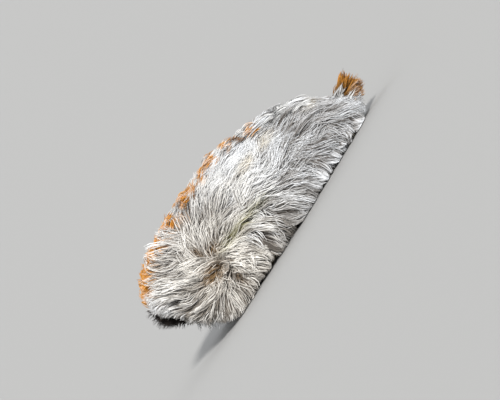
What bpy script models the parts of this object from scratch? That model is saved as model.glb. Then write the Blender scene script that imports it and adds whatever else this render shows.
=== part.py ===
"""Southern flannel moth larva, life size, at rest on its prolegs.

The head points to -X, the tail to +X and the back up to +Z. The floor is z = 0 and the
origin lies on it under the middle of the animal. Stations along the body are millimetres
back from the tip of the face; a turn round the body is 0 on the back and pi on the belly.
"""

import math
import random

import bmesh
import bpy
from mathutils import Vector

MM = 0.001

# Colour and roughness of each kind of node
COAT_LOOK = ((0.56, 0.55, 0.52), 0.6)
TUFT_LOOK = ((0.52, 0.25, 0.08), 0.6)
FACE_LOOK = ((0.02, 0.018, 0.017), 0.8)
HEAD_LOOK = ((0.4, 0.24, 0.12), 0.35)
LEG_LOOK = ((0.45, 0.31, 0.17), 0.4)
SKIN_LOOK = ((0.62, 0.57, 0.4), 0.5)

# Driving dimensions, in millimetres
LENGTH = 31.9
GAP = 0.3
MIDDLE = LENGTH / 2

# Coat and flesh at a few stations: station, lowest z, highest z, half width
COAT = (
    (0.0, 5.6, 6.0, 0.2),
    (0.4, 4.8, 7.4, 1.6),
    (1.3, 4.2, 8.7, 3.1),
    (2.2, 3.8, 9.4, 4.3),
    (3.1, 2.6, 9.95, 5.1),
    (4.5, 1.2, 10.4, 5.9),
    (6.4, 0.45, 10.7, 6.4),
    (8.5, 0.3, 10.8, 6.65),
    (11.0, 0.3, 10.75, 6.7),
    (14.0, 0.3, 10.65, 6.5),
    (17.0, 0.3, 10.3, 6.1),
    (20.6, 0.3, 9.2, 5.2),
    (24.0, 0.3, 7.7, 4.2),
    (26.9, 0.3, 5.8, 3.1),
    (28.7, 0.5, 3.8, 2.0),
    (30.2, 0.9, 2.7, 1.0),
    (31.0, 1.5, 2.1, 0.2),
)
FLESH = (
    (3.2, 4.3, 4.7, 0.2),
    (3.6, 3.4, 6.0, 1.4),
    (4.6, 2.6, 6.9, 2.2),
    (6.5, 1.8, 7.4, 2.8),
    (9.0, 1.3, 7.5, 3.1),
    (13.0, 1.1, 7.4, 3.2),
    (17.0, 1.1, 7.1, 3.1),
    (21.0, 1.1, 6.2, 2.8),
    (24.5, 1.1, 4.9, 2.3),
    (27.0, 1.2, 3.7, 1.6),
    (28.2, 1.6, 3.1, 0.9),
    (28.6, 2.1, 2.6, 0.2),
)
WAIST = 0.42
FLESH_SQUARE = 0.8
COAT_SQUARE = 0.4
BELLY_START = 2.45
BELLY_WIDTH = 0.5

# The coat's lie: it radiates from a whorl on each flank, and sweeps back behind it
WHORL_STATION = 8.7
WHORL_TURN = 1.6
GIRTH = 6.0
SWEEP = 6.0
LIFT_TO_CREST = math.radians(34)
LIFT_REACH = 8.0
DROP_TO_FRINGE = math.radians(68)
DROP_REACH = 4.5
LOWEST_TURN = 2.5
CORE_DEPTH = 0.42
CORE_START = 2.3
CORE_END = 29.0

# One lock: length, width and thickness, and its share of them along its length
LOCK_LENGTH = 6.4
LOCK_WIDTH = 2.1
FULL_GIRTH = 5.5
LOCK_THICK = 0.62
LOCK_SHARES = (0.0, 0.3, 0.6, 0.84)
LOCK_WIDTHS = (0.7, 1.0, 0.84, 0.5)
LOCK_THICKS = (1.2, 1.0, 0.9, 0.85)
ROOT_DEPTH = 0.1
RISE = 2.2
RISE_AT_WHORL = 3.3
CREST_RISE = 1.4
ROW_SPACING = 2.75
LOCK_SPACING = 2.75
FIRST_TURN = 0.42
LAST_TURN = 2.34

# How far one lock may differ from the next
TIP_DEPTHS = (0.98, 1.09)
LENGTH_SHARES = (0.85, 1.15)
WIDTH_SHARES = (0.8, 1.2)
STATION_SHAKE = 0.35
TURN_SHAKE = 0.06
SWAY = 0.3

# Crest tufts along the back: station, length, how far it stands over the coat, lean
CREST = (
    (8.0, 4.2, 1.16, -1),
    (6.3, 4.2, 1.08, -1),
    (4.9, 3.6, 1.0, -1),
    (9.1, 4.0, 1.22, 1),
    (10.8, 3.6, 1.16, 1),
    (12.4, 3.6, 1.17, 1),
    (14.2, 4.4, 1.2, 1),
    (16.2, 4.6, 1.24, 1),
    (18.4, 4.6, 1.2, 1),
    (20.6, 4.4, 1.18, 1),
    (22.8, 4.0, 1.12, 1),
)
CREST_TURN = 0.2
CREST_WIDTH = 1.7
CREST_THICK = 0.7
CREST_SIDE_STEP = 0.5
CREST_SIDE_LENGTH = 0.92

# Where the body is parted, and how far each parting leans back through the coat
THORAX_END = 8.75
FRONT_END = 14.2
MIDDLE_END = 19.8
LEAN = 4.6
LEAN_LOW = 2.0
PARTING_LEVELS = (0.0, 0.55, 1.1, 1.8)
PARTING_REACH = 3.6
PARTING_FLARE = 1.6
PARTING_HEIGHT = 4.0
PARTING_LAST = 27.5
BEYOND = 12.0

# Sockets in the coat's two ends: station and height of the apex, slopes up and sideways
FACE_SOCKET = dict(apex=3.3, height=5.6, tall=0.85, wide=2.4, forward=True)
TAIL_SOCKET = dict(apex=27.4, height=2.5, tall=0.5, wide=0.5, forward=False)
SOCKET_REACH = 9.0

# The face fringe's rows: rise of the tips over the middle, locks, half width, station
FACE_ROWS = (
    (1.4, 4, 1.9, 0.5),
    (0.5, 4, 2.4, 0.1),
    (-0.5, 4, 2.4, 0.25),
    (-1.4, 4, 1.9, 1.05),
)
FACE_HEIGHT = 5.6
FACE_ROOT = 2.4
FACE_ROOT_SPREAD = (0.6, 0.25)
FACE_CURVE = 0.9
FACE_BALL = ((2.15, 0, 5.6), (0.95, 2.1, 0.75))
FACE_LOCK = (1.0, 0.55, 0.12)

# The tail tuft's rows: distance to the side, locks, how far short of the end they stop
TAIL_ROWS = ((-0.65, 4, 0.35), (0.0, 5, 0.0), (0.65, 4, 0.4))
TAIL_LOW = 1.6
TAIL_HIGH = 4.4
TAIL_DROP_LOW = 1.2
TAIL_DROP_HIGH = 0.5
TAIL_ROOT = (28.3, 2.5)
TAIL_ROOT_SPREAD = 0.3
TAIL_BALL = ((28.9, 0, 2.5), (1.0, 0.55, 0.5))
TAIL_LOCK = (0.95, 0.55, -0.22)

HEAD_CENTRE = (4.9, 0.0, 2.35)
HEAD_SIZE = (0.95, 1.2, 1.1)
# The seam down the brow: half width, depth, and how it fades upwards and backwards
CLEFT = (0.3, 0.16, 0.8, 0.5)
# Mouth parts: distance back from the brow, out to the side and up from the chin, half sizes
LIP = ((0.28, 0.0, 0.5), (0.32, 0.42, 0.3))
JAW = ((0.42, 0.26, 0.24), (0.3, 0.26, 0.34))
# Simple eyes, on an arc low on each cheek
EYES = 4
EYE_RADIUS = 0.13
EYE_START = math.radians(-50)
EYE_STEP = math.radians(32)
EYE_ARC = (0.2, 0.38)
EYE_MIDDLE = (-0.72, 0.86, -0.1)
# Feelers: root on the head, run from root to tip, radius at three shares of the run
FEELER_ROOT = (-0.3, 0.5, -0.35)
FEELER_RUN = (-1.45, 0.7, -0.3)
FEELER_RADII = ((0.0, 0.28), (0.6, 0.26), (1.0, 0.14))

LEG_STATIONS = (6.7, 7.6, 8.5)
LEG_SPREAD = 1.35
# One jointed leg from its claw up: step along the body, share of the spread, height, radius
LEG_JOINTS = (
    (-0.35, 1.15, 0.0, 0.26),
    (-0.3, 1.15, 0.25, 0.28),
    (-0.1, 1.2, 0.8, 0.36),
    (0.05, 1.05, 1.5, 0.46),
    (0.1, 0.8, 3.2, 0.5),
)
PROLEG_STATIONS = (12.0, 14.0, 16.0, 18.0, 20.0, 22.0, 26.4)
PROLEG_SPREAD = 1.6
LAST_PROLEG_SHARE = 0.7
PROLEG_RADIUS = 0.6
# One proleg from its sole up: share of the spread, height, share of the radius
PROLEG_RINGS = ((1.0, 0.0, 0.85), (1.0, 0.22, 1.0), (1.0, 0.6, 0.8), (0.9, 2.4, 1.15))

# Room kept free of locks round the legs: station, half width, top
LEG_ROOM = (
    (5.5, 2.2, 2.2),
    (7.2, 2.35, 1.75),
    (9.4, 2.4, 1.2),
    (23.0, 2.5, 0.95),
    (25.4, 2.1, 0.95),
    (27.5, 2.0, 0.95),
)

FLOOR_CLEAR = 0.12
ROUND = 20
STEPS = 20
BLOCK = 60.0
THINNEST = (0.0002, 0.0005, 0.001, 0.0015)
TRIES = 24


def clear_scene():
    for thing in list(bpy.data.objects):
        bpy.data.objects.remove(thing, do_unlink=True)


def smooth(value):
    value = min(1.0, max(0.0, value))
    return value * value * (3 - 2 * value)


def between(table, station, column):
    """Read one column of a table at a station, on a smooth curve through its rows."""
    if station <= table[0][0]:
        return table[0][column]
    if station >= table[-1][0]:
        return table[-1][column]
    row = max(i for i in range(len(table) - 1) if table[i][0] <= station)
    low, high = table[row], table[row + 1]
    span = high[0] - low[0]
    before = table[max(row - 1, 0)]
    after = table[min(row + 2, len(table) - 1)]
    tilt_low = (high[column] - before[column]) / (high[0] - before[0])
    tilt_high = (after[column] - low[column]) / (after[0] - low[0])
    t = (station - low[0]) / span
    return (
        (2 * t**3 - 3 * t**2 + 1) * low[column]
        + (t**3 - 2 * t**2 + t) * span * tilt_low
        + (3 * t**2 - 2 * t**3) * high[column]
        + (t**3 - t**2) * span * tilt_high
    )


def section(table, station, turn):
    """The point of a section at a turn, as half width and height."""
    low, high, width = (between(table, station, column) for column in (1, 2, 3))
    if not table[0][0] < station < table[-1][0]:
        width = 0.0
        low = high = (low + high) / 2
    waist = low + WAIST * (high - low)
    if turn <= math.pi / 2:
        return width * math.sin(turn), waist + (high - waist) * math.cos(turn)
    square = COAT_SQUARE if table is COAT else FLESH_SQUARE
    out = width * abs(math.sin(turn)) ** square
    return out, waist - (waist - low) * abs(math.cos(turn)) ** square


def spot(station, turn, depth, side=1):
    """A point of the coat: depth 0 is the flesh, depth 1 is the coat's outer face."""
    flesh_y, flesh_z = section(FLESH, station, turn)
    coat_y, coat_z = section(COAT, station, turn)
    y = flesh_y + (coat_y - flesh_y) * depth
    z = flesh_z + (coat_z - flesh_z) * depth
    return Vector(((station - MIDDLE), side * y, z))


def mesh_object(name, points, faces):
    """A closed mesh from points in millimetres, as an object of the scene."""
    mesh = bpy.data.meshes.new(name)
    bm = bmesh.new()
    made = [bm.verts.new(Vector(point) * MM) for point in points]
    for face in faces:
        bm.faces.new([made[index] for index in face])
    bmesh.ops.triangulate(bm, faces=bm.faces[:])
    bmesh.ops.recalc_face_normals(bm, faces=bm.faces[:])
    bm.to_mesh(mesh)
    bm.free()
    thing = bpy.data.objects.new(name, mesh)
    bpy.context.scene.collection.objects.link(thing)
    return thing


def finish(thing, look):
    """Give a node its own material."""
    colour, roughness = look
    material = bpy.data.materials.new(thing.name + "_finish")
    material.use_nodes = True
    shader = material.node_tree.nodes["Principled BSDF"]
    shader.inputs["Base Color"].default_value = (*colour, 1)
    shader.inputs["Roughness"].default_value = roughness
    shader.inputs["Metallic"].default_value = 0
    thing.data.materials.clear()
    thing.data.materials.append(material)


def loft(name, rings, first, last):
    """A closed tube of rings of points, each end closed to one point."""
    count = len(rings[0])
    points = [point for ring in rings for point in ring] + [first, last]
    faces = []
    for row in range(len(rings) - 1):
        for step in range(count):
            a = row * count + step
            b = row * count + (step + 1) % count
            faces.append((a, b, b + count, a + count))
    end = (len(rings) - 1) * count
    for step in range(count):
        after = (step + 1) % count
        faces.append((after, step, len(points) - 2))
        faces.append((end + step, end + after, len(points) - 1))
    return mesh_object(name, points, faces)


def ring_of(place):
    """Points all the way round the body, from the back down the left side and up the right."""
    ring = []
    for step in range(ROUND):
        angle = 2 * math.pi * step / ROUND
        side = -1 if angle <= math.pi else 1
        turn = angle if angle <= math.pi else 2 * math.pi - angle
        ring.append(place(turn, side))
    return ring


def body_solid(name, depth_at, start, end, grow=0.0):
    """A lofted solid along the whole body, as deep into the coat as depth_at says."""
    rings = []
    for step in range(1, STEPS):
        share = (1 - math.cos(math.pi * step / STEPS)) / 2
        station = start + (end - start) * share

        def place(turn, side, station=station):
            point = spot(station, turn, depth_at(station, turn), side)
            middle = spot(station, math.pi / 2, 0)
            out = Vector((0, point.y, point.z - middle.z))
            return point + out.normalized() * grow if out.length > 1e-6 else point

        rings.append(ring_of(place))
    first = spot(start - grow, 0, 0)
    last = spot(end + grow, 0, 0)
    return loft(name, rings, first, last)


def boolean(thing, other, operation):
    """Apply one Boolean with an object or a whole collection, and drop what it used."""
    step = thing.modifiers.new("join", "BOOLEAN")
    step.operation = operation
    step.solver = "EXACT"
    if isinstance(other, bpy.types.Collection):
        step.operand_type = "COLLECTION"
        step.collection = other
    else:
        step.object = other
    graph = bpy.context.evaluated_depsgraph_get()
    mesh = bpy.data.meshes.new_from_object(thing.evaluated_get(graph))
    thing.modifiers.clear()
    thing.data = mesh


def remove(*things):
    for thing in things:
        bpy.data.objects.remove(thing, do_unlink=True)


def keep_largest(thing):
    """Keep only the closed surface that holds the most room."""
    bm = bmesh.new()
    bm.from_mesh(thing.data)
    bmesh.ops.triangulate(bm, faces=bm.faces[:])
    left = set(bm.faces)
    shells = []
    while left:
        queue = [left.pop()]
        shell = []
        while queue:
            face = queue.pop()
            shell.append(face)
            for edge in face.edges:
                for other in edge.link_faces:
                    if other in left:
                        left.remove(other)
                        queue.append(other)
        room = sum(
            f.verts[0].co.dot(f.verts[1].co.cross(f.verts[2].co)) / 6 for f in shell
        )
        shells.append((room, shell))
    shells.sort(key=lambda pair: pair[0])
    for _, shell in shells[:-1]:
        bmesh.ops.delete(bm, geom=shell, context="FACES")
    bmesh.ops.delete(bm, geom=[v for v in bm.verts if not v.link_faces], context="VERTS")
    bm.to_mesh(thing.data)
    bm.free()


def sound(thing):
    """Whether the solid stays closed when points that all but touch are merged."""
    for thin in THINNEST:
        bm = bmesh.new()
        bm.from_mesh(thing.data)
        bmesh.ops.remove_doubles(bm, verts=bm.verts[:], dist=thin * MM)
        closed = all(edge.is_manifold for edge in bm.edges)
        bm.free()
        if not closed:
            return False
    return True


def parting(name, station, shift, back):
    """A solid over everything behind (or before) a parting that leans with the coat."""
    far = LENGTH + BEYOND if back else -BEYOND
    rings = []
    for level in PARTING_LEVELS:

        def place(turn, side, level=level):
            lean = LEAN + (LEAN_LOW - LEAN) * smooth((turn - 1.0) / 1.2)
            slant = 2 if level > 0 else 1
            at = station + lean * level + shift * slant
            inner = spot(min(at, PARTING_LAST), turn, 0, side)
            middle = spot(min(at, PARTING_LAST), math.pi / 2, 0)
            out = Vector((0, inner.y, inner.z - middle.z))
            point = inner + out.normalized() * level * PARTING_REACH
            return Vector((at - MIDDLE, point.y, point.z))

        rings.append(ring_of(place))
    wide = []
    for point in rings[-1]:
        height = PARTING_HEIGHT + (point.z - PARTING_HEIGHT) * PARTING_FLARE
        wide.append(Vector((far - MIDDLE, point.y * PARTING_FLARE, height)))
    rings.append(wide)
    first = Vector((station + shift - MIDDLE, 0, PARTING_HEIGHT))
    last = Vector((far - MIDDLE, 0, PARTING_HEIGHT))
    return loft(name, rings, first, last)


def slab(name, start, end):
    """A block over the stations from start to end."""
    sides = (-BLOCK / 2, BLOCK / 2)
    points = [(x - MIDDLE, y, z) for x in (start, end) for y in sides for z in sides]
    faces = ((0, 1, 3, 2), (4, 6, 7, 5), (0, 4, 5, 1), (2, 3, 7, 6), (0, 2, 6, 4), (1, 5, 7, 3))
    return mesh_object(name, points, faces)


def floor_slab(name):
    """A block that trims whatever would reach down to the floor."""
    block = slab(name, -BLOCK / 2, BLOCK)
    for vert in block.data.vertices:
        vert.co.z = min(vert.co.z, FLOOR_CLEAR * MM)
    return block


def socket(name, apex, height, tall, wide, forward, shift):
    """A cone that opens forwards or back from its apex, for what grows out of an end."""
    way = -1 if forward else 1
    start = apex + way * shift
    rings = []
    for share in (0.02, 1.0):
        reach = SOCKET_REACH * share
        x = start + way * reach - MIDDLE
        ring = []
        for step in range(ROUND):
            angle = 2 * math.pi * step / ROUND
            y = wide * reach * math.sin(angle)
            ring.append(Vector((x, y, height + tall * reach * math.cos(angle))))
        rings.append(ring)
    tip = Vector((start - MIDDLE, 0, height))
    base = Vector((start + way * SOCKET_REACH - MIDDLE, 0, height))
    return loft(name, rings, tip, base)


def limb(name, path, radii, sides=8):
    """A round tapered limb along a path, with a flat sole on the floor."""
    points = []
    faces = []
    for centre, radius in zip(path, radii):
        for step in range(sides):
            angle = 2 * math.pi * step / sides
            offset = Vector((radius * math.cos(angle), radius * math.sin(angle), 0))
            points.append(Vector(centre) + offset)
    rows = len(path)
    for row in range(rows - 1):
        for step in range(sides):
            a = row * sides + step
            b = row * sides + (step + 1) % sides
            faces.append((a, b, b + sides, a + sides))
    faces.append(tuple(range(sides))[::-1])
    faces.append(tuple((rows - 1) * sides + step for step in range(sides)))
    return mesh_object(name, points, faces)


def make_legs(clear):
    """Three pairs of jointed legs and seven pairs of prolegs, cut clear of the belly."""
    for side, word in ((-1, "left"), (1, "right")):
        for number, station in enumerate(LEG_STATIONS, 1):
            x = station - MIDDLE
            y = side * LEG_SPREAD
            path = [(x + along, y * share, height) for along, share, height, _ in LEG_JOINTS]
            radii = [radius for *_, radius in LEG_JOINTS]
            leg = limb(f"leg_{word}_{number}", path, radii)
            boolean(leg, clear, "DIFFERENCE")
            keep_largest(leg)
            finish(leg, LEG_LOOK)
        for number, station in enumerate(PROLEG_STATIONS, 1):
            x = station - MIDDLE
            last = number == len(PROLEG_STATIONS)
            y = side * PROLEG_SPREAD * (LAST_PROLEG_SHARE if last else 1)
            path = [(x, y * share, height) for share, height, _ in PROLEG_RINGS]
            radii = [PROLEG_RADIUS * share for *_, share in PROLEG_RINGS]
            proleg = limb(f"proleg_{word}_{number}", path, radii)
            boolean(proleg, clear, "DIFFERENCE")
            keep_largest(proleg)
            finish(proleg, SKIN_LOOK)


def head_solid(name, grow=0.0):
    """The round head capsule, turned down under the thorax."""
    bm = bmesh.new()
    bmesh.ops.create_icosphere(bm, subdivisions=3, radius=1)
    for vert in bm.verts:
        size = [half + grow for half in HEAD_SIZE]
        vert.co = Vector(vert.co[i] * size[i] for i in range(3))
        vert.co += Vector(HEAD_CENTRE) - Vector((MIDDLE, 0, 0))
        vert.co *= MM
    mesh = bpy.data.meshes.new(name)
    bm.to_mesh(mesh)
    bm.free()
    thing = bpy.data.objects.new(name, mesh)
    bpy.context.scene.collection.objects.link(thing)
    return thing


def core_depth(station, turn):
    """The core under the locks: less than half way out, and none on the bare belly."""
    belly = smooth((turn - BELLY_START) / BELLY_WIDTH)
    ends = smooth((station - CORE_START) / 1.6) * smooth((CORE_END - station) / 1.6)
    return CORE_DEPTH * (1 - belly) * ends


def lie(station, turn):
    """The way the coat lies, as an angle up from straight back."""
    up = (WHORL_TURN - turn) * GIRTH
    along = station - WHORL_STATION
    radial = math.atan2(up, along)
    if along <= 0:
        return radial
    if up > 0:
        back = LIFT_TO_CREST * up / LIFT_REACH
    else:
        back = DROP_TO_FRINGE * max(up / DROP_REACH, -1.1)
    return radial + (back - radial) * smooth(along / SWEEP)


def comb(station, turn, side, length, tip_depth, root_depth, rise, way=None, sway=0.0):
    """The path of a lock along the lie, as points and the directions out of the coat."""
    steps = 12
    stride = length / steps
    path = []
    for step in range(steps + 1):
        share = step / steps
        depth = root_depth + (tip_depth - root_depth) * (1 - (1 - share) ** rise)
        here = spot(station, turn, depth, side)
        path.append((here, spot(station, turn, depth + 0.1, side) - here))
        angle = lie(station, turn) if way is None else way
        angle += sway * math.cos(math.pi * share)
        ahead = math.cos(angle)
        up = math.sin(angle)
        up *= smooth(turn / 0.5) if up > 0 else smooth((LOWEST_TURN - turn) / 0.35)
        size = math.hypot(ahead, up) or 1
        ahead, up = ahead / size * stride, up / size * stride / GIRTH
        moved = (spot(station + ahead, turn - up, depth, side) - here).length
        scale = min(stride / max(moved, 1e-3), 2.0)
        station = min(max(station + ahead * scale, 0.3), 30.7)
        turn = max(turn - up * scale, 0.0)
    return path


def lock(path, width, thick=LOCK_THICK):
    """One flat tapered lock along a path, closed, with a pointed tip."""
    last = len(path) - 1
    points = []
    for share, wide, deep in zip(LOCK_SHARES, LOCK_WIDTHS, LOCK_THICKS):
        index = round(share * last)
        here, out = path[index]
        run = path[min(index + 1, last)][0] - path[max(index - 1, 0)][0]
        run.normalize()
        out = (out - run * out.dot(run)).normalized() * (thick * deep / 2)
        across = run.cross(out).normalized() * (width * wide / 2)
        points += [here - across - out, here + across - out, here + across + out, here - across + out]
    points.append(path[last][0])
    faces = [(3, 2, 1, 0)]
    for row in range(len(LOCK_SHARES) - 1):
        for step in range(4):
            a = row * 4 + step
            b = row * 4 + (step + 1) % 4
            faces.append((a, b, b + 4, a + 4))
    end = len(points) - 5
    faces += [(end + step, end + (step + 1) % 4, len(points) - 1) for step in range(4)]
    return mesh_object("lock", points, faces)


def flank_locks(start, end, draw):
    """Rows of locks down both flanks, from one station to another."""
    locks = []
    rows = max(1, round((end - start) / ROW_SPACING))
    for row in range(rows + 1):
        at = start + (end - start) * row / rows
        girth = max(between(COAT, at, 3), 3.0)
        count = round((LAST_TURN - FIRST_TURN) * girth / LOCK_SPACING)
        for step in range(count + 1 - row % 2):
            share = (step + 0.5 * (row % 2)) / count
            level = FIRST_TURN + (LAST_TURN - FIRST_TURN) * share
            tip = draw.uniform(*TIP_DEPTHS)
            for side in (-1, 1):
                station = at + draw.uniform(-STATION_SHAKE, STATION_SHAKE)
                turn = level + draw.uniform(-TURN_SHAKE, TURN_SHAKE)
                length = LOCK_LENGTH * draw.uniform(*LENGTH_SHARES)
                sway = draw.uniform(-SWAY, SWAY)
                away = abs(station - WHORL_STATION) / SWEEP
                rise = RISE_AT_WHORL + (RISE - RISE_AT_WHORL) * smooth(away)
                path = comb(station, turn, side, length, tip, ROOT_DEPTH, rise, sway=sway)
                wide = LOCK_WIDTH * min(1.0, girth / FULL_GIRTH)
                locks.append(lock(path, wide * draw.uniform(*WIDTH_SHARES)))
    return locks


def crest_locks(start, end, draw):
    """The tufts along the back, a middle lock and one to each side."""
    locks = []
    for station, length, stand, lean in CREST:
        if not start < station <= end:
            continue
        for turn, side in ((0.0, 1), (CREST_TURN, -1), (CREST_TURN, 1)):
            way = 0.0 if lean > 0 else math.pi
            size = length * draw.uniform(0.92, 1.08) * (1 if turn == 0 else CREST_SIDE_LENGTH)
            at = station + (0 if turn == 0 else CREST_SIDE_STEP * lean)
            path = comb(at, turn, side, size, stand, ROOT_DEPTH, CREST_RISE, way)
            locks.append(lock(path, CREST_WIDTH, CREST_THICK))
    return locks


def make_head():
    """The head capsule with its upper lip, jaws and simple eyes, and the feelers."""
    head = head_solid("head")
    half, depth, rise, back = CLEFT
    for vert in head.data.vertices:
        out = Vector(vert.co) / MM + Vector((MIDDLE, 0, 0)) - Vector(HEAD_CENTRE)
        brow = smooth(out.z / rise + 0.25) * smooth(-out.x / back)
        vert.co.x += depth * smooth(1 - abs(out.y) / half) * brow * MM
    centre = Vector(HEAD_CENTRE)
    chin = centre - Vector((HEAD_SIZE[0], 0, HEAD_SIZE[2]))
    pieces = [loft_ball("lip", chin + Vector(LIP[0]), LIP[1])]
    for side in (-1, 1):
        back, out, up = JAW[0]
        pieces.append(loft_ball("jaw", chin + Vector((back, side * out, up)), JAW[1]))
        for step in range(EYES):
            angle = EYE_START + EYE_STEP * step
            back, out, up = EYE_MIDDLE
            back -= EYE_ARC[0] * math.cos(angle)
            place = Vector((back, side * out, up + EYE_ARC[1] * math.sin(angle)))
            reach = math.sqrt(sum((place[i] / HEAD_SIZE[i]) ** 2 for i in range(3)))
            pieces.append(bead("eye", centre + place / reach, EYE_RADIUS))
    fuse(head, pieces)
    keep_largest(head)
    finish(head, HEAD_LOOK)
    room = head_solid("head_room", GAP)
    for side, word in ((-1, "left"), (1, "right")):
        root = Vector((FEELER_ROOT[0] - MIDDLE, side * FEELER_ROOT[1], FEELER_ROOT[2]))
        run = Vector((FEELER_RUN[0], side * FEELER_RUN[1], FEELER_RUN[2]))
        path = [centre + root + run * share for share, _ in FEELER_RADII]
        antenna = limb(f"antenna_{word}", path, [radius for _, radius in FEELER_RADII])
        boolean(antenna, room, "DIFFERENCE")
        keep_largest(antenna)
        finish(antenna, LEG_LOOK)
    remove(room)


def bead(name, centre, radius):
    """A small faceted ball."""
    bm = bmesh.new()
    bmesh.ops.create_icosphere(bm, subdivisions=1, radius=radius * MM)
    for vert in bm.verts:
        vert.co += (centre - Vector((MIDDLE, 0, 0))) * MM
    mesh = bpy.data.meshes.new(name)
    bm.to_mesh(mesh)
    bm.free()
    thing = bpy.data.objects.new(name, mesh)
    bpy.context.scene.collection.objects.link(thing)
    return thing


def leg_room(name):
    """A channel under the belly that the locks are cut clear of."""
    points = []
    for station, wide, top in LEG_ROOM:
        x = station - MIDDLE
        points += [(x, -wide, -3), (x, wide, -3), (x, wide, top - 0.3), (x, wide * 0.6, top)]
        points += [(x, -wide * 0.6, top), (x, -wide, top - 0.3)]
    faces = [(5, 4, 3, 2, 1, 0)]
    for row in range(len(LEG_ROOM) - 1):
        for step in range(6):
            a = row * 6 + step
            b = row * 6 + (step + 1) % 6
            faces.append((a, b, b + 6, a + 6))
    faces.append(tuple(len(points) - 6 + step for step in range(6)))
    return mesh_object(name, points, faces)


def fuse(thing, locks):
    """Join the locks to their core in one union."""
    group = bpy.data.collections.new("locks")
    bpy.context.scene.collection.children.link(group)
    for piece in locks:
        bpy.context.scene.collection.objects.unlink(piece)
        group.objects.link(piece)
    boolean(thing, group, "UNION")
    for piece in list(group.objects):
        bpy.data.objects.remove(piece, do_unlink=True)
    bpy.data.collections.remove(group)


def make_coat():
    """The thorax and three lengths of abdomen, each with its own core and locks."""
    thorax_cuts = [
        slab("behind", THORAX_END - GAP / 2, BLOCK),
        head_solid("head_room", GAP),
        socket("face_room", shift=-GAP / 2, **FACE_SOCKET),
    ]
    front_cuts = [
        slab("before", -BLOCK / 2, THORAX_END + GAP / 2),
        parting("behind", FRONT_END, -GAP / 2, True),
    ]
    middle_cuts = [
        parting("before", FRONT_END, GAP / 2, False),
        parting("behind", MIDDLE_END, -GAP / 2, True),
    ]
    rear_cuts = [
        parting("before", MIDDLE_END, GAP / 2, False),
        socket("tail_room", shift=-GAP / 2, **TAIL_SOCKET),
    ]
    lengths = (
        ("thorax", 4.0, 8.3, thorax_cuts),
        ("abdomen_front", 9.2, FRONT_END - 0.6, front_cuts),
        ("abdomen_middle", FRONT_END + 0.8, MIDDLE_END - 0.6, middle_cuts),
        ("abdomen_rear", MIDDLE_END + 0.8, 27.4, rear_cuts),
    )
    for name, start, end, cutters in lengths:
        cutters += [leg_room("leg_room"), floor_slab("floor")]
        for number in range(TRIES):
            draw = random.Random(f"{name} {number}")
            node = body_solid(name, core_depth, CORE_START, CORE_END)
            locks = flank_locks(start, end, draw)
            fuse(node, locks + crest_locks(start - 0.7, end + 0.6, draw))
            for cutter in cutters:
                boolean(node, cutter, "DIFFERENCE")
            keep_largest(node)
            if sound(node):
                break
            remove(node)
        finish(node, COAT_LOOK)
        remove(*cutters)


def fan(tips, width, thick, bow):
    """Locks from a root to a tip each, bowed up in the middle and hooked over at the end."""
    locks = []
    for root, tip in tips:
        root_point, tip_point = Vector(root), Vector(tip)
        path = []
        for step in range(13):
            share = step / 12
            point = root_point.lerp(tip_point, share)
            point.z += bow * 4 * share * (1 - share)
            out = Vector((0.02, point.y, point.z - root_point.z + 0.1))
            path.append((point, out.normalized()))
        locks.append(lock(path, width, thick))
    return locks


def make_face():
    """The dark fringe that hides the head, a band of short locks across the front."""
    face = loft_ball("face_fringe", *FACE_BALL)
    out, up = FACE_ROOT_SPREAD
    tips = []
    for rise, count, wide, station in FACE_ROWS:
        for step in range(count):
            share = 2 * (step + 0.5) / count - 1
            y = wide * share
            root = (FACE_ROOT - MIDDLE, y * out, FACE_HEIGHT + rise * up)
            x = station + FACE_CURVE * share * share - MIDDLE
            tips.append((root, (x, y, FACE_HEIGHT + rise)))
    fuse(face, fan(tips, *FACE_LOCK))
    cone = socket("face_cone", shift=GAP / 2, **FACE_SOCKET)
    boolean(face, cone, "INTERSECT")
    keep_largest(face)
    finish(face, FACE_LOOK)
    remove(cone)


def make_tail():
    """The tuft on the tail, a blunt fan of locks."""
    tuft = loft_ball("tail_tuft", *TAIL_BALL)
    back, low = TAIL_ROOT
    tips = []
    for out, count, stretch in TAIL_ROWS:
        for step in range(count):
            share = step / (count - 1)
            height = TAIL_LOW + (TAIL_HIGH - TAIL_LOW) * share
            drop = TAIL_DROP_LOW if share < 0.5 else TAIL_DROP_HIGH
            station = LENGTH - 0.1 - stretch - drop * abs(2 * share - 1) ** 1.5
            root = (back - MIDDLE, out * TAIL_ROOT_SPREAD, low)
            tips.append((root, (station - MIDDLE, out, height)))
    fuse(tuft, fan(tips, *TAIL_LOCK))
    cone = socket("tail_cone", shift=GAP / 2, **TAIL_SOCKET)
    boolean(tuft, cone, "INTERSECT")
    keep_largest(tuft)
    finish(tuft, TUFT_LOOK)
    remove(cone)


def loft_ball(name, centre, size):
    """A small closed ball, drawn out to its three half sizes."""
    rings = []
    for row in range(1, 6):
        lean = math.pi * row / 6
        ring = []
        for step in range(10):
            angle = 2 * math.pi * step / 10
            ring.append(
                Vector((
                    centre[0] - size[0] * math.cos(lean) - MIDDLE,
                    centre[1] + size[1] * math.sin(lean) * math.sin(angle),
                    centre[2] + size[2] * math.sin(lean) * math.cos(angle),
                ))
            )
        rings.append(ring)
    first = Vector((centre[0] - size[0] - MIDDLE, centre[1], centre[2]))
    last = Vector((centre[0] + size[0] - MIDDLE, centre[1], centre[2]))
    return loft(name, rings, first, last)


def main():
    clear_scene()
    clear = body_solid("clear", core_depth, CORE_START, CORE_END, GAP)
    make_legs(clear)
    remove(clear)
    make_head()
    make_coat()
    make_face()
    make_tail()


main()
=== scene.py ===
"""Looks of the life-size southern flannel moth larva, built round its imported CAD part.

Stations along the body are millimetres back from the tip of the face. A drop is how far a
point lies below the back, in millimetres round the flank of the widest section. A depth is
0 on the flesh and 1 on the outer face of the coat.
"""

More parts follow.
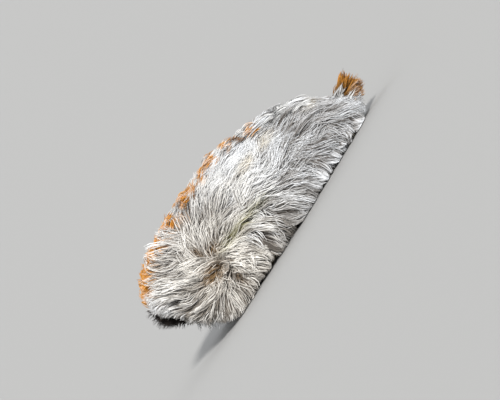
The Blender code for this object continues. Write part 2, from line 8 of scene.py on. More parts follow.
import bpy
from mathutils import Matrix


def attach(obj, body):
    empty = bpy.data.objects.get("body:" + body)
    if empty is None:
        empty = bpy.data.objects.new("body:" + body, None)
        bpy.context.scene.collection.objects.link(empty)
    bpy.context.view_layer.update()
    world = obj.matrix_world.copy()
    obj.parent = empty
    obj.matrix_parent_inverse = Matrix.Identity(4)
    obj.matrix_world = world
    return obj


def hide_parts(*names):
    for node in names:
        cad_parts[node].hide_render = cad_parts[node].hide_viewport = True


bl_info = {
    "name": "Flannel Moth Larva Looks",
    "version": (1, 0, 0),
    "blender": (4, 5, 0),
    "location": "View3D > Sidebar > Larva",
    "description": "Skin, coat, head, legs and stage of a southern flannel moth larva",
    "category": "Object",
}

import math
from collections import namedtuple

import bmesh
import bpy
import numpy as np
from mathutils import Euler, Matrix, Vector

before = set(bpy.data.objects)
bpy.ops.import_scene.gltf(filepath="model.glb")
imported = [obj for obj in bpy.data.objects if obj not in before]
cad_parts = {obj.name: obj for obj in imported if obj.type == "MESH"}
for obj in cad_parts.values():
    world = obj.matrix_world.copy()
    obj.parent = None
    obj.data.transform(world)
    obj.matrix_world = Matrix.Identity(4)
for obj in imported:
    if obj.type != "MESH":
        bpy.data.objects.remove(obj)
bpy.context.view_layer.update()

MM = 0.001
TO_MM = 1 / MM
LENGTH = 31.9
MIDDLE = LENGTH / 2
BODY = "root"

# Coat and flesh at a few stations: station, lowest z, highest z, half width
COAT = np.array((
    (0.0, 5.6, 6.0, 0.2),
    (0.4, 4.8, 7.4, 1.6),
    (1.3, 4.2, 8.7, 3.1),
    (2.2, 3.8, 9.4, 4.3),
    (3.1, 2.6, 9.95, 5.1),
    (4.5, 1.2, 10.4, 5.9),
    (6.4, 0.45, 10.7, 6.4),
    (8.5, 0.3, 10.8, 6.65),
    (11.0, 0.3, 10.75, 6.7),
    (14.0, 0.3, 10.65, 6.5),
    (17.0, 0.3, 10.3, 6.1),
    (20.6, 0.3, 9.2, 5.2),
    (24.0, 0.3, 7.7, 4.2),
    (26.9, 0.3, 5.8, 3.1),
    (28.7, 0.5, 3.8, 2.0),
    (30.2, 0.9, 2.7, 1.0),
    (31.0, 1.5, 2.1, 0.2),
))
FLESH = np.array((
    (3.2, 4.3, 4.7, 0.2),
    (3.6, 3.4, 6.0, 1.4),
    (4.6, 2.6, 6.9, 2.2),
    (6.5, 1.8, 7.4, 2.8),
    (9.0, 1.3, 7.5, 3.1),
    (13.0, 1.1, 7.4, 3.2),
    (17.0, 1.1, 7.1, 3.1),
    (21.0, 1.1, 6.2, 2.8),
    (24.5, 1.1, 4.9, 2.3),
    (27.0, 1.2, 3.7, 1.6),
    (28.2, 1.6, 3.1, 0.9),
    (28.6, 2.1, 2.6, 0.2),
))
WAIST = 0.42
FLESH_SQUARE = 0.8
COAT_SQUARE = 0.4
WAIST_DROP = 10.0
BELLY_DROP = 16.0
WIDEST = 6.7
UNDER_EASE = 2.3

# The skin lies as deep as the core of the part's locks
CORE_DEPTH = 0.42
CORE_START = 2.3
CORE_END = 29.0
BELLY_START = 2.45
BELLY_WIDTH = 0.5
# Below this drop the coat hangs like a skirt, a little under
SKIRT_DROP = 12.8
SKIRT_TUCK = 0.05

# The lie of the coat: it radiates from a whorl on each flank, and sweeps back behind it
WHORL_STATION = 8.7
WHORL_DROP = 10.8
SWEEP = 6.0
LIFT_TO_CREST = math.radians(24)
LIFT_REACH = 9.0
LEVEL_DROP = 8.6
DROP_TO_FRINGE = math.radians(78)
DROP_REACH = 4.6
FRINGE_PULL = 0.6
# The whorl is a short upright seam: how far it reaches up and down, and how strongly it parts
SEAM_UP = 2.4
SEAM_DOWN = 1.0
SEAM_PULL = 0.5

# Where the forward hair stops round the face: drop, station
RIM = np.array((
    (0.0, 3.0), (2.0, 2.2), (4.0, 1.3), (7.2, 1.0), (10.0, 1.55),
    (11.5, 2.0), (13.0, 2.25), (15.0, 2.4), (16.0, 3.0),
))
# How unevenly it stops there
RAGGED_RIM = 0.9
# Where the hair stops round the tail tuft: drop, station
TAIL_RIM = np.array(((0.0, 28.5), (4.0, 28.9), (7.0, 29.6), (10.0, 30.3), (16.0, 30.3)))
# Clear height of the hair over the floor, and the lowest height in the table of the coat
FLOOR_CLEAR = 0.1
FLOOR_LOW = 0.3
# The lowest drop of a root in the grid, the lowest of any, and how far hair reaches past the back
LOWEST_ROOT = 13.2
LAST_ROOT = 15.7
OVER_BACK = 2.0
# A hair shorter than a stub is left out, save in the open middle of the whorl
FULL_LENGTH = 4.5
STUB = 1.5
OPEN_WHORL = 2.0
# Extra wisps that fill thin places: station, drop, spread, number on a flank, tousle
FILLED = (
    (8.7, 10.8, 0.9, 80, 0.4),
    (6.7, 13.2, 0.8, 80, 0.04),
    (4.6, 12.6, 0.9, 30, 0.05),
    (27.6, 14.3, 0.7, 60, 0.2),
)
# The lowest drop of these roots, and the lowest by the tail, which begins at this station
FILLED_LOWEST = 14.0
FILLED_LOWEST_TAIL = 15.6
TAIL_START = 26.0

# How the locks differ. A tip is a depth in the coat, a turn or a sway is radians off the lie,
# a size is a share of the hair length, and a floor is the height at which the hair stops
LOCK_TIP = (0.80, 1.06)
LOCK_TURN = 0.15
LOCK_SWAY = 0.22
LOCK_SIZE = (0.85, 1.12)
LOCK_TONE = 0.16
LOCK_FLOOR = 0.45
# How the wisps of a lock differ from it
WISP_TIP = 0.07
WISP_TURN = 0.18
WISP_SWAY = 0.12
WISP_SIZE = (0.82, 1.12)
WISP_TONE = 0.13
WISP_TONE_LOW = 0.22
WISP_FLOOR = 0.4
WISP_BEAT = (0.9, 2.0)
# How the hairs of a wisp differ from it. The spread of the roots is a share of the wisp spacing
HAIR_SPREAD = 0.62
HAIR_TIP = 0.03
HAIR_TURN = 0.09
HAIR_SWAY = 0.06
HAIR_SIZE = (0.8, 1.1)
HAIR_TONE = 0.1
HAIR_FLOOR = (-0.1, 0.3)
# Hairs that stand out of their wisp, and wisps that stand out of the rear back and the flank:
# how many, and how far their tips rise
FLY_SHARE, FLY_TIP = 0.06, (0.03, 0.2)
RAGGED_SHARE, RAGGED_TIP = 0.26, (0.25, 0.6)
LIFTED_SHARE, LIFTED_TIP = 0.14, (0.05, 0.2)
# Zones of the coat, by the drop at which they begin: the streaked skirt, whose edge rises on
# the rear, and the hanging fringe, which fans out in front of this station
SKIRT_EDGE = 7.6
SKIRT_EDGE_RISE = 2.4
SKIRT_START = 9.8
FRINGE_EDGE = 9.8
FAN_END = 9.8
# Shares of dark hair, on the flank and more of it low down as painted shade, and the middle of all tones
DARK_SHARE = 0.3
DARK_SHARE_LOW = 0.16
MIDDLE_TONE = 0.68
# The spread of the crest's rust: from which share of a hair, over which, and how many wisps
RUST_FROM = (0.64, 0.8)
RUST_SPAN = 0.12
RUSTY_WISPS = 0.84
# How much of its length a hair keeps round the whorl: distance from it, share
WHORL_SIZE = np.array(((0.0, 0.26), (0.5, 0.3), (1.6, 0.5), (4.5, 1.0)))
WHORL_SIZE_UNDER = np.array(((0.0, 0.5), (4.5, 1.0)))

POINTS = 7
SHARES = np.linspace(0.0, 1.0, POINTS)

# Lengths of the coat: name, first and last station of the roots, nodes that it replaces
COAT_LENGTHS = (
    ("thorax_fore", 2.6, 5.6, ("thorax",)),
    ("thorax_aft", 5.6, 8.75, ("thorax",)),
    ("abdomen_front", 8.75, 14.2, ("abdomen_front",)),
    ("abdomen_middle", 14.2, 19.8, ("abdomen_middle",)),
    ("abdomen_rear", 19.8, 28.6, ("abdomen_rear",)),
)

# Patches of colour on each flank: what, station, height, reach along, reach up, strength
PATCHES = (
    ("whorl_brown", 7.4, 4.4, 1.2, 0.7, 1.4),
    ("whorl_brown", 8.2, 4.0, 1.5, 1.2, 0.4),
    ("whorl_brown", 8.37, 6.85, 0.24, 0.6, 1.7),
    ("root", 8.4, 6.85, 0.13, 0.42, 1.5),
    # painted shade in the dark parting low by the whorl: this root patch and the whorl_brown patch at
    # station 8.55
    ("root", 8.6, 2.0, 0.28, 0.7, 1.1),
    ("whorl_brown", 9.6, 5.7, 0.8, 0.6, 1.0),
    ("whorl_brown", 8.55, 2.0, 0.4, 0.7, 0.5),
    ("whorl_brown", 4.97, 9.7, 0.16, 0.6, 1.0),
    ("whorl_brown", 5.87, 9.7, 0.14, 0.4, 0.9),
    ("olive", 11.2, 4.9, 1.4, 0.4, 0.5),
    ("olive", 13.6, 4.6, 1.6, 0.45, 0.55),
    ("olive", 15.8, 4.3, 1.2, 0.4, 0.4),
    ("cream", 18.3, 7.6, 1.0, 0.45, 0.65),
    ("cream", 21.3, 7.3, 1.0, 0.45, 0.55),
    ("cream", 26.9, 5.5, 0.6, 0.4, 0.6),
)
# Gaps where the coat is combed apart: station, height, reach along, reach up, push
GAPS = (
    (8.37, 6.85, 0.35, 0.7, 0.3),
    (8.55, 1.9, 0.4, 0.9, 0.3),
    (4.97, 9.7, 0.25, 0.9, 0.3),
    (5.87, 9.7, 0.25, 0.6, 0.3),
)
# Painted light and shade on a flank, lighter where the light falls full and darker where it is shaded:
# station, drop, reach along, reach down, shift of tone
PAINTED_LIGHT_AND_SHADE = (
    (13.0, 3.8, 3.6, 3.0, 0.6),
    (13.0, 7.5, 4.0, 2.4, 0.26),
    (14.5, 10.4, 4.5, 2.2, -0.2),
    (4.5, 8.0, 3.2, 3.0, -0.2),
    (4.0, 3.0, 3.4, 3.2, -0.45),
    (8.6, 6.0, 2.0, 3.0, -0.34),
    (8.7, 10.4, 1.6, 1.4, 0.35),
    (6.5, 12.8, 2.4, 1.8, -0.15),
    (5.5, 12.6, 3.6, 2.6, -0.62),
    (12.5, 11.8, 4.0, 2.2, -0.5),
    (17.5, 12.5, 7.0, 2.6, -0.32),
    (18.8, 5.5, 3.5, 2.8, -0.4),
    (25.0, 4.0, 5.0, 5.0, -0.4),
    (24.0, 10.0, 5.0, 4.0, -0.12),
    (27.5, 13.8, 2.5, 2.0, -0.3),
)
# The angle from which the photograph looks down
VIEW_DROP = math.radians(5)
# The cast of the coat far from the whorl, and at it, over this distance
COOL = np.array((0.975, 1.0, 1.045))
WARM = np.array((1.03, 1.0, 0.95))
WARM_REACH = 5.0
WARM_HEIGHT = 3.6
# Where the tips of the flank hair turn rust: how far down from the back, and from where to where
CREST_DROP = 3.0
CREST_RANGES = (
    (0.6, 4.2), (5.2, 7.6), (8.5, 10.6), (11.8, 12.8),
    (13.0, 14.4), (15.2, 17.7), (18.7, 20.5), (21.0, 22.3),
)

HEAD_CENTRE = Vector((4.9 - MIDDLE, 0.0, 2.35))
HEAD_SIZE = Vector((0.95, 1.2, 1.1))
LEG_STATIONS = (6.7, 7.6, 8.5)
LEG_SPREAD = 1.35
PROLEG_STATIONS = (12.0, 14.0, 16.0, 18.0, 20.0, 22.0, 26.4)
PROLEG_SPREAD = 1.6
PROLEG_RADIUS = 0.6
# Radii along a feeler, from its base, and along a leg, from its claw: share of the length, radius
FEELER_RADII = np.array((
    (0.0, 0.27), (0.3, 0.26), (0.42, 0.25), (0.46, 0.18), (0.5, 0.2),
    (0.78, 0.17), (0.82, 0.1), (0.86, 0.11), (0.97, 0.08), (1.0, 0.03),
))
LEG_RADII = np.array((
    (0.0, 0.02), (0.06, 0.08), (0.14, 0.13), (0.18, 0.2), (0.22, 0.24), (0.36, 0.29), (0.40, 0.22),
    (0.44, 0.3), (0.58, 0.4), (0.62, 0.32), (0.66, 0.42), (0.85, 0.5), (1.0, 0.45),
))
# Sizes up a proleg, from its sole: height, share of its radius
PROLEG_SIZES = np.array((
    (0.0, 0.72), (0.05, 0.88), (0.14, 0.98), (0.26, 1.0), (0.4, 0.93), (0.55, 0.8), (0.72, 0.86),
    (0.9, 0.82), (1.1, 0.94), (1.35, 0.92), (1.6, 1.02), (1.9, 1.08), (2.3, 1.1),
))


# ---- settings


def colour_setting(name, description, default):
    return bpy.props.FloatVectorProperty(
        name=name, description=description, default=default, subtype="COLOR", size=3, min=0, max=1
    )


def length_setting(name, description, default):
    return bpy.props.FloatProperty(
        name=name, description=description, default=default, min=0, subtype="DISTANCE", unit="LENGTH"
    )


class LarvaCoatSettings(bpy.types.PropertyGroup):
    hair_width: length_setting("Hair width", "Width of one hair at its thickest", 0.00009)
    hair_length: length_setting("Hair length", "Mean length of the hair on the flanks", 0.0060)
    wisp_spacing: length_setting("Wisp spacing", "Distance between the roots of two wisps", 0.00052)
    lock_spacing: length_setting("Lock spacing", "Distance between the roots of two locks", 0.0019)
    wave: length_setting("Wave", "How far a hair waves to each side", 0.00021)
    hairs_per_wisp: bpy.props.IntProperty(
        name="Hairs per wisp", description="Number of hairs that lie together", default=13, min=1
    )
    silver: colour_setting("Silver", "Bright hair of the flanks", (0.97, 0.97, 0.96))
    smoke: colour_setting("Smoke", "Darker hair between the bright ones", (0.28, 0.255, 0.228))
    # dark roots: partly the hair's own colour, partly painted shade deep in the coat; also painted shade
    # in a parting by the whorl
    root: colour_setting("Root", "Root of every flank hair", (0.085, 0.058, 0.038))
    whorl_brown: colour_setting("Whorl brown", "Middle of the whorl", (0.25, 0.155, 0.07))
    olive: colour_setting("Olive", "Faint olive band on the flank", (0.33, 0.31, 0.08))
    cream: colour_setting("Cream", "Cream tufts high on the flank", (0.80, 0.70, 0.52))
    rust: colour_setting("Rust", "Crest and tail tuft", (0.74, 0.335, 0.05))
    rust_deep: colour_setting("Deep rust", "Shaded hair of the crest and tail tuft", (0.24, 0.10, 0.018))
    blush: colour_setting("Blush", "Pinkish cream hair in the crest and tail tuft", (0.80, 0.55, 0.38))
    fringe: colour_setting("Fringe", "Velvety fringe over the face", (0.006, 0.005, 0.005))


class LarvaBodySettings(bpy.types.PropertyGroup):
    skin_dark: colour_setting("Dark skin", "Skin under the coat", (0.055, 0.042, 0.032))
    skin_pale: colour_setting("Pale skin", "Bare belly and prolegs", (0.60, 0.53, 0.34))
    head_brown: colour_setting("Head", "Shell of the head", (0.30, 0.15, 0.06))
    leg_brown: colour_setting("Legs", "Shell of the jointed legs", (0.40, 0.25, 0.11))
    eye_black: colour_setting("Eyes", "Simple eyes", (0.01, 0.008, 0.007))


class LarvaStageSettings(bpy.types.PropertyGroup):
    floor_colour: colour_setting("Floor", "Plain pale floor", (0.31, 0.308, 0.302))
    key_strength: bpy.props.FloatProperty(
        name="Key light", description="Strength of the main soft light", default=4.3, min=0
    )
    fill_strength: bpy.props.FloatProperty(
        name="Fill light", description="Strength of the soft light from the other side", default=0.8, min=0
    )
    sky_strength: bpy.props.FloatProperty(
        name="Sky", description="Strength of the even light from all round", default=0.72, min=0
    )
    camera_roll: bpy.props.FloatProperty(
        name="Roll", description="Turn of the camera about its own axis",
        default=math.radians(57), subtype="ANGLE",
    )
    camera_height: bpy.props.FloatProperty(
        name="Elevation", description="Angle from which the camera looks down",
        default=VIEW_DROP, subtype="ANGLE",
    )
    field: length_setting("Field", "Width of the view at the larva", 0.050)
    distance: length_setting("Distance", "Distance of the camera", 0.60)


# ---- sections of the body


def smooth(value):
    value = np.clip(value, 0.0, 1.0)
    return value * value * (3 - 2 * value)


def ramp(value, start, span):
    """0 up to the start and 1 from a span past it; with a span below 0, 1 before and 0 after."""
    return smooth((value - start) / span)


def read_table(table, at):
    """The second column of a table, on straight lines between its rows."""
    return np.interp(at, table[:, 0], table[:, 1])


def read_column(table, stations, column):
    """One column of a table at many stations, on smooth curves through its rows."""
    at, value = table[:, 0], table[:, column]
    stations = np.clip(stations, at[0], at[-1])
    low = np.clip(np.searchsorted(at, stations, side="right") - 1, 0, len(at) - 2)
    before = np.maximum(low - 1, 0)
    after = np.minimum(low + 2, len(at) - 1)
    span = at[low + 1] - at[low]
    tilt_low = (value[low + 1] - value[before]) / (at[low + 1] - at[before])
    tilt_high = (value[after] - value[low]) / (at[after] - at[low])
    t = (stations - at[low]) / span
    return (
        (2 * t**3 - 3 * t**2 + 1) * value[low]
        + (t**3 - 2 * t**2 + t) * span * tilt_low
        + (3 * t**2 - 2 * t**3) * value[low + 1]
        + (t**3 - t**2) * span * tilt_high
    )


def turn_of(drop):
    """The turn round a section for a drop: half of pi at the waist, pi under the belly."""
    drop = np.abs(drop)
    above = drop / WAIST_DROP
    below = np.clip((drop - WAIST_DROP) / (BELLY_DROP - WAIST_DROP), 0, 1) ** UNDER_EASE
    return np.where(drop < WAIST_DROP, above, 1 + below) * math.pi / 2


def section(table, stations, turns):
    """Half width and height of a section at a turn."""
    low, high, width = (read_column(table, stations, column) for column in (1, 2, 3))
    inside = (stations > table[0, 0]) & (stations < table[-1, 0])
    width = np.where(inside, width, 0.0)
    middle = (low + high) / 2
    low = np.where(inside, low, middle)
    high = np.where(inside, high, middle)
    waist = low + WAIST * (high - low)
    square = COAT_SQUARE if table is COAT else FLESH_SQUARE
    sine = np.abs(np.sin(turns))
    cosine = np.abs(np.cos(turns))
    upper = turns <= math.pi / 2
    out = np.where(upper, width * sine, width * sine**square)
    height = np.where(upper, waist + (high - waist) * cosine, waist - (waist - low) * cosine**square)
    return out, height


def spot(stations, drops, depths, side):
    """Points in the coat, in millimetres, for one flank."""
    turns = turn_of(drops)
    flesh_y, flesh_z = section(FLESH, stations, turns)
    hung = np.maximum(np.abs(drops) - SKIRT_DROP, 0)
    girth = np.clip(read_column(COAT, stations, 3) / WIDEST, 0.0, 1.0)
    coat_y, coat_z = section(COAT, stations, turn_of(np.minimum(np.abs(drops), SKIRT_DROP)))
    coat_y = coat_y * (1 - SKIRT_TUCK * hung)
    coat_z = coat_z - hung * girth
    y = (flesh_y + (coat_y - flesh_y) * depths) * side * np.where(drops < 0, -1, 1)
    z = flesh_z + (coat_z - flesh_z) * depths
    return np.stack((stations - MIDDLE, y, z), axis=-1)


def core_depth(stations, turns):
    belly = ramp(turns, BELLY_START, BELLY_WIDTH)
    ends = ramp(stations, CORE_START, 1.6) * ramp(stations, CORE_END, -1.6)
    return CORE_DEPTH * (1 - belly) * ends


def photo_plane(points):
    """Station and height of points as they look from the side, from a little above."""
    height = points[..., 2] * math.cos(VIEW_DROP) - np.abs(points[..., 1]) * math.sin(VIEW_DROP)
    return points[..., 0] + MIDDLE, height + 0.15


# ---- the lie of the hair


def lie(stations, drops):
    """The way the hair lies, as an angle up from straight back."""
    up = WHORL_DROP - drops
    along = stations - WHORL_STATION
    seam = SEAM_PULL * np.clip(up, -SEAM_DOWN, SEAM_UP)
    radial = np.arctan2(up - seam, along)
    above = LEVEL_DROP - drops
    fall = np.clip(-above / DROP_REACH, 0.0, 1.1) ** 0.9
    back = np.where(above > 0, LIFT_TO_CREST * above / LIFT_REACH, -DROP_TO_FRINGE * fall)
    angle = radial + (back - radial) * smooth(along / SWEEP)
    pull = FRINGE_PULL * ramp(drops, 12.0, 3.5)
    down = np.where(angle > math.pi / 2, 1.5 * math.pi, -math.pi / 2)
    return angle + (down - angle) * np.where(up < 0, pull, 0)


def comb(stations, drops, side, lengths, tips, rises, turns_off, sways):
    """Paths of hairs along the lie, as stations, drops and depths for each point."""
    stride = lengths / (POINTS - 1)
    station, drop = stations.copy(), drops.copy()
    root = core_depth(station, turn_of(drop)) * 0.8
    track = []
    for share in SHARES:
        depth = root + (tips - root) * (1 - (1 - share) ** rises)
        track.append((station.copy(), drop.copy(), depth))
        angle = lie(station, drop) + turns_off + sways * math.cos(math.pi * share)
        ahead = np.cos(angle)
        up = np.sin(angle)
        girth = np.clip(read_column(COAT, station, 3) / WIDEST, 0.3, 1.0)
        moved = station + ahead * stride
        lifted = drop - up * stride / girth
        here = spot(station, drop, depth, side)
        there = spot(moved, lifted, depth, side)
        real = np.linalg.norm(there - here, axis=-1)
        scale = np.clip(stride / np.maximum(real, 1e-3), 0.4, 1.7)
        station = station + ahead * stride * scale
        drop = drop - up * stride * scale / girth
    return tuple(np.stack([step[i] for step in track], axis=1) for i in range(3))


def trimmed_lengths(path, lengths, side, floor):
    """Lengths cut so that no hair passes the rim of the face, the tail or the floor."""
    station, drop, depth = path
    z = spot(station, drop, depth, side)[..., 2]
    lowest = floor[:, None] + np.maximum(read_column(COAT, station, 1) - FLOOR_LOW, 0)
    rim = read_table(RIM, np.abs(drop)) + RAGGED_RIM * (floor[:, None] - 0.5)
    past = (
        (station < rim)
        | (station > read_table(TAIL_RIM, np.abs(drop)))
        | (z < lowest)
        | (drop > BELLY_DROP - 0.2)
        | (drop < -OVER_BACK)
    )
    first = np.where(past.any(axis=1), past.argmax(axis=1), POINTS - 1)
    return lengths * np.clip(first / (POINTS - 1), 0.15, 1.0)


def scatter(start, end, low, high, spacing, draw):
    """Roots on a shaken grid over a length of one flank."""
    roots = []
    rows = max(1, round((end - start) / spacing))
    for row in range(rows):
        station = start + (end - start) * (row + 0.5) / rows
        girth = float(np.clip(read_column(COAT, station, 3) / WIDEST, 0.25, 1.0))
        count = max(2, round((high - low) * girth / spacing))
        shift = draw.random()
        for step in range(count):
            drop = low + (high - low) * (step + shift) / count
            roots.append((
                station + draw.uniform(-0.55, 0.55) * spacing,
                drop + draw.uniform(-0.55, 0.55) * spacing / girth,
            ))
    return np.array(roots)


def nearest(roots, leaders):
    gap = roots[:, None, :] - leaders[None, :, :]
    return (gap**2).sum(axis=-1).argmin(axis=1)


def part_gaps(station, drop, points):
    """Comb the hair to the sides of each gap, by moving its stations and drops."""
    across, height = photo_plane(points)
    for centre, level, wide, tall, push in GAPS:
        right = (across - centre) / wide
        above = (height - level) / tall
        near = np.exp(-(right**2 + above**2))
        sign = np.where(right[:, -1:] >= 0, 1, -1)
        station = station + sign * push * near
    return station, drop


Strands = namedtuple("Strands", "roots size tip turn sway floor")


def plant(start, end, draw):
    """Roots of the locks and wisps on one length of a flank, and how tousled each wisp is."""
    look = bpy.context.scene.larva_coat
    leaders = scatter(start, end, 0.3, LOWEST_ROOT, look.lock_spacing * TO_MM, draw)
    wisps = scatter(start, end, 0.2, LOWEST_ROOT, look.wisp_spacing * TO_MM, draw)
    tousled = np.zeros(len(wisps))
    for station, drop, spread, number, tousle in FILLED:
        extra = draw.normal((station, drop), spread, (number, 2))
        lowest = np.where(extra[:, 0] > TAIL_START, FILLED_LOWEST_TAIL, FILLED_LOWEST)
        extra = extra[(extra[:, 0] >= start) & (extra[:, 0] < end) & (extra[:, 1] < lowest)]
        tousled = np.concatenate((tousled, np.full(len(extra), tousle)))
        wisps = np.concatenate((wisps, extra))
    return leaders, wisps, tousled


def comb_strands(strands, side):
    """Paths of locks, wisps or hairs, cut where they would pass a rim or the floor."""
    station, drop = strands.roots[:, 0], strands.roots[:, 1]
    up, along = WHORL_DROP - drop, station - WHORL_STATION
    away = np.hypot(along, up)
    rise = 1.75 - 0.25 * ramp(away, 1.0, 4.0)
    near = read_table(WHORL_SIZE, away)
    under = ramp(drop, WHORL_DROP, 0.8)
    size = strands.size * (near + under * (read_table(WHORL_SIZE_UNDER, away) - near))
    size = size * (1 - 0.4 * ramp(station, 10.0, -3.0) * ramp(drop, 5.5, -4.0))
    calm = 1 - 0.5 * ramp(drop, 11.5, 2.0)
    loose = smooth((WHORL_DROP - 1.5 - drop) / 3.0) * ramp(station, 8.0, 4.0)
    seam = np.exp(-((along / 0.9) ** 2) - ((up - 1.5) / 2.2) ** 2)
    crease = np.exp(-(((up - 0.3) / 0.9) ** 2) - ((along - 1.6) / 2.2) ** 2)
    turn = strands.turn * calm * (1 + 1.1 * seam + 0.5 * crease + 1.2 * loose)
    sway = strands.sway * (1 + 0.9 * loose) * (1 - 0.6 * ramp(drop, 10.8, 1.5))
    for _ in range(2):
        path = comb(station, drop, side, size, strands.tip, rise, turn, sway)
        size = trimmed_lengths(path, size, side, strands.floor)
    return comb(station, drop, side, size, strands.tip, rise, turn, sway)


def zones(roots):
    """How far roots lie in the skirt, in the fringe, and in the fan of the fringe."""
    station, drop = roots.T
    edge = SKIRT_EDGE - SKIRT_EDGE_RISE * ramp(station, 17.0, 5.0)
    skirted = ramp(drop, edge, 2.6) * ramp(station, SKIRT_START, 2.0)
    fringed = ramp(drop, FRINGE_EDGE, 2.5)
    return skirted, fringed, fringed * ramp(station, FAN_END, -1.2)


def draw_locks(leaders, draw):
    """The locks that grow from some roots, and their tones."""
    count = len(leaders)
    tip = draw.uniform(*LOCK_TIP, count)
    turn = draw.normal(0, LOCK_TURN, count)
    sway = draw.uniform(-LOCK_SWAY, LOCK_SWAY, count)
    size = draw.uniform(*LOCK_SIZE, count) * bpy.context.scene.larva_coat.hair_length * TO_MM
    tone = draw.uniform(-LOCK_TONE, LOCK_TONE, count)
    floor = FLOOR_CLEAR + draw.uniform(0.0, LOCK_FLOOR, count)
    return Strands(leaders, size, tip, turn, sway, floor), tone


def draw_wisps(roots, lock, lock_tone, tousled, draw):
    """The wisps that grow from some roots, each after its lock: with tones, waves and beats."""
    station, drop = roots.T
    skirted, fringed, _ = zones(roots)
    count = len(roots)
    tip = lock.tip + draw.normal(0, WISP_TIP, count)
    ragged = ramp(drop, 5.0, -2.5) * ramp(station, 19.5, 3.0)
    tip = tip + ragged * (draw.random(count) < RAGGED_SHARE) * draw.uniform(*RAGGED_TIP, count)
    turn = lock.turn + draw.normal(0, WISP_TURN, count) + draw.normal(0, 1, count) * tousled
    sway = lock.sway + draw.normal(0, WISP_SWAY, count)
    size = lock.size * draw.uniform(*WISP_SIZE, count)
    tip = tip - 0.12 * ramp(station, 23.0, 3.0) * ramp(drop, 8.0, -3.0)
    uneven = WISP_TONE + WISP_TONE_LOW * np.maximum(fringed, skirted)
    tone = lock_tone + draw.normal(0, 1, count) * uneven
    tip = tip + 0.2 * np.clip(tone, -0.6, 0.2)
    wave = draw.uniform(0, 2 * math.pi, (count, 2))
    beat = draw.uniform(*WISP_BEAT, count)
    lifted = (draw.random(count) < LIFTED_SHARE) * ramp(drop, 9.5, -2.0)
    lifted = lifted * ramp(station, 8.0, 2.0)
    tip = tip + lifted * draw.uniform(*LIFTED_TIP, count)
    tip = tip - 0.09 * ramp(drop, 4.5, -3.0) * in_crest(station)
    # the hair lifted from the whorl ends at the crest, not above it
    raised = ramp(station, 4.6, 0.8) * ramp(station, 9.2, -0.8)
    tip = tip - 0.13 * raised * ramp(drop, 5.5, -2.5)
    return Strands(roots, size, tip, turn, sway, lock.floor), tone, wave, beat


def draw_hairs(wisps, owner, draw):
    """The hairs of some wisps, and the wisps with the heights at which they stop."""
    total = len(owner)
    spread = HAIR_SPREAD * bpy.context.scene.larva_coat.wisp_spacing * TO_MM
    reach = spread * np.sqrt(draw.random(total))
    bearing = draw.uniform(0, 2 * math.pi, total)
    roots = wisps.roots[owner] + np.stack((reach * np.cos(bearing), reach * np.sin(bearing)), axis=1)
    roots[:, 1] = np.clip(roots[:, 1], 0.02, LAST_ROOT)
    fly = draw.random(total) < FLY_SHARE
    tip = wisps.tip[owner] + draw.normal(0, HAIR_TIP, total)
    tip = tip + np.where(fly, draw.uniform(*FLY_TIP, total), 0)
    turn = wisps.turn[owner] + draw.normal(0, HAIR_TURN, total)
    sway = wisps.sway[owner] + draw.normal(0, HAIR_SWAY, total)
    size = wisps.size[owner] * draw.uniform(*HAIR_SIZE, total)
    wisps = wisps._replace(floor=wisps.floor + draw.uniform(0, WISP_FLOOR, len(wisps.floor)))
    floor = wisps.floor[owner] + draw.uniform(*HAIR_FLOOR, total)
    return Strands(roots, size, tip, turn, sway, floor), wisps


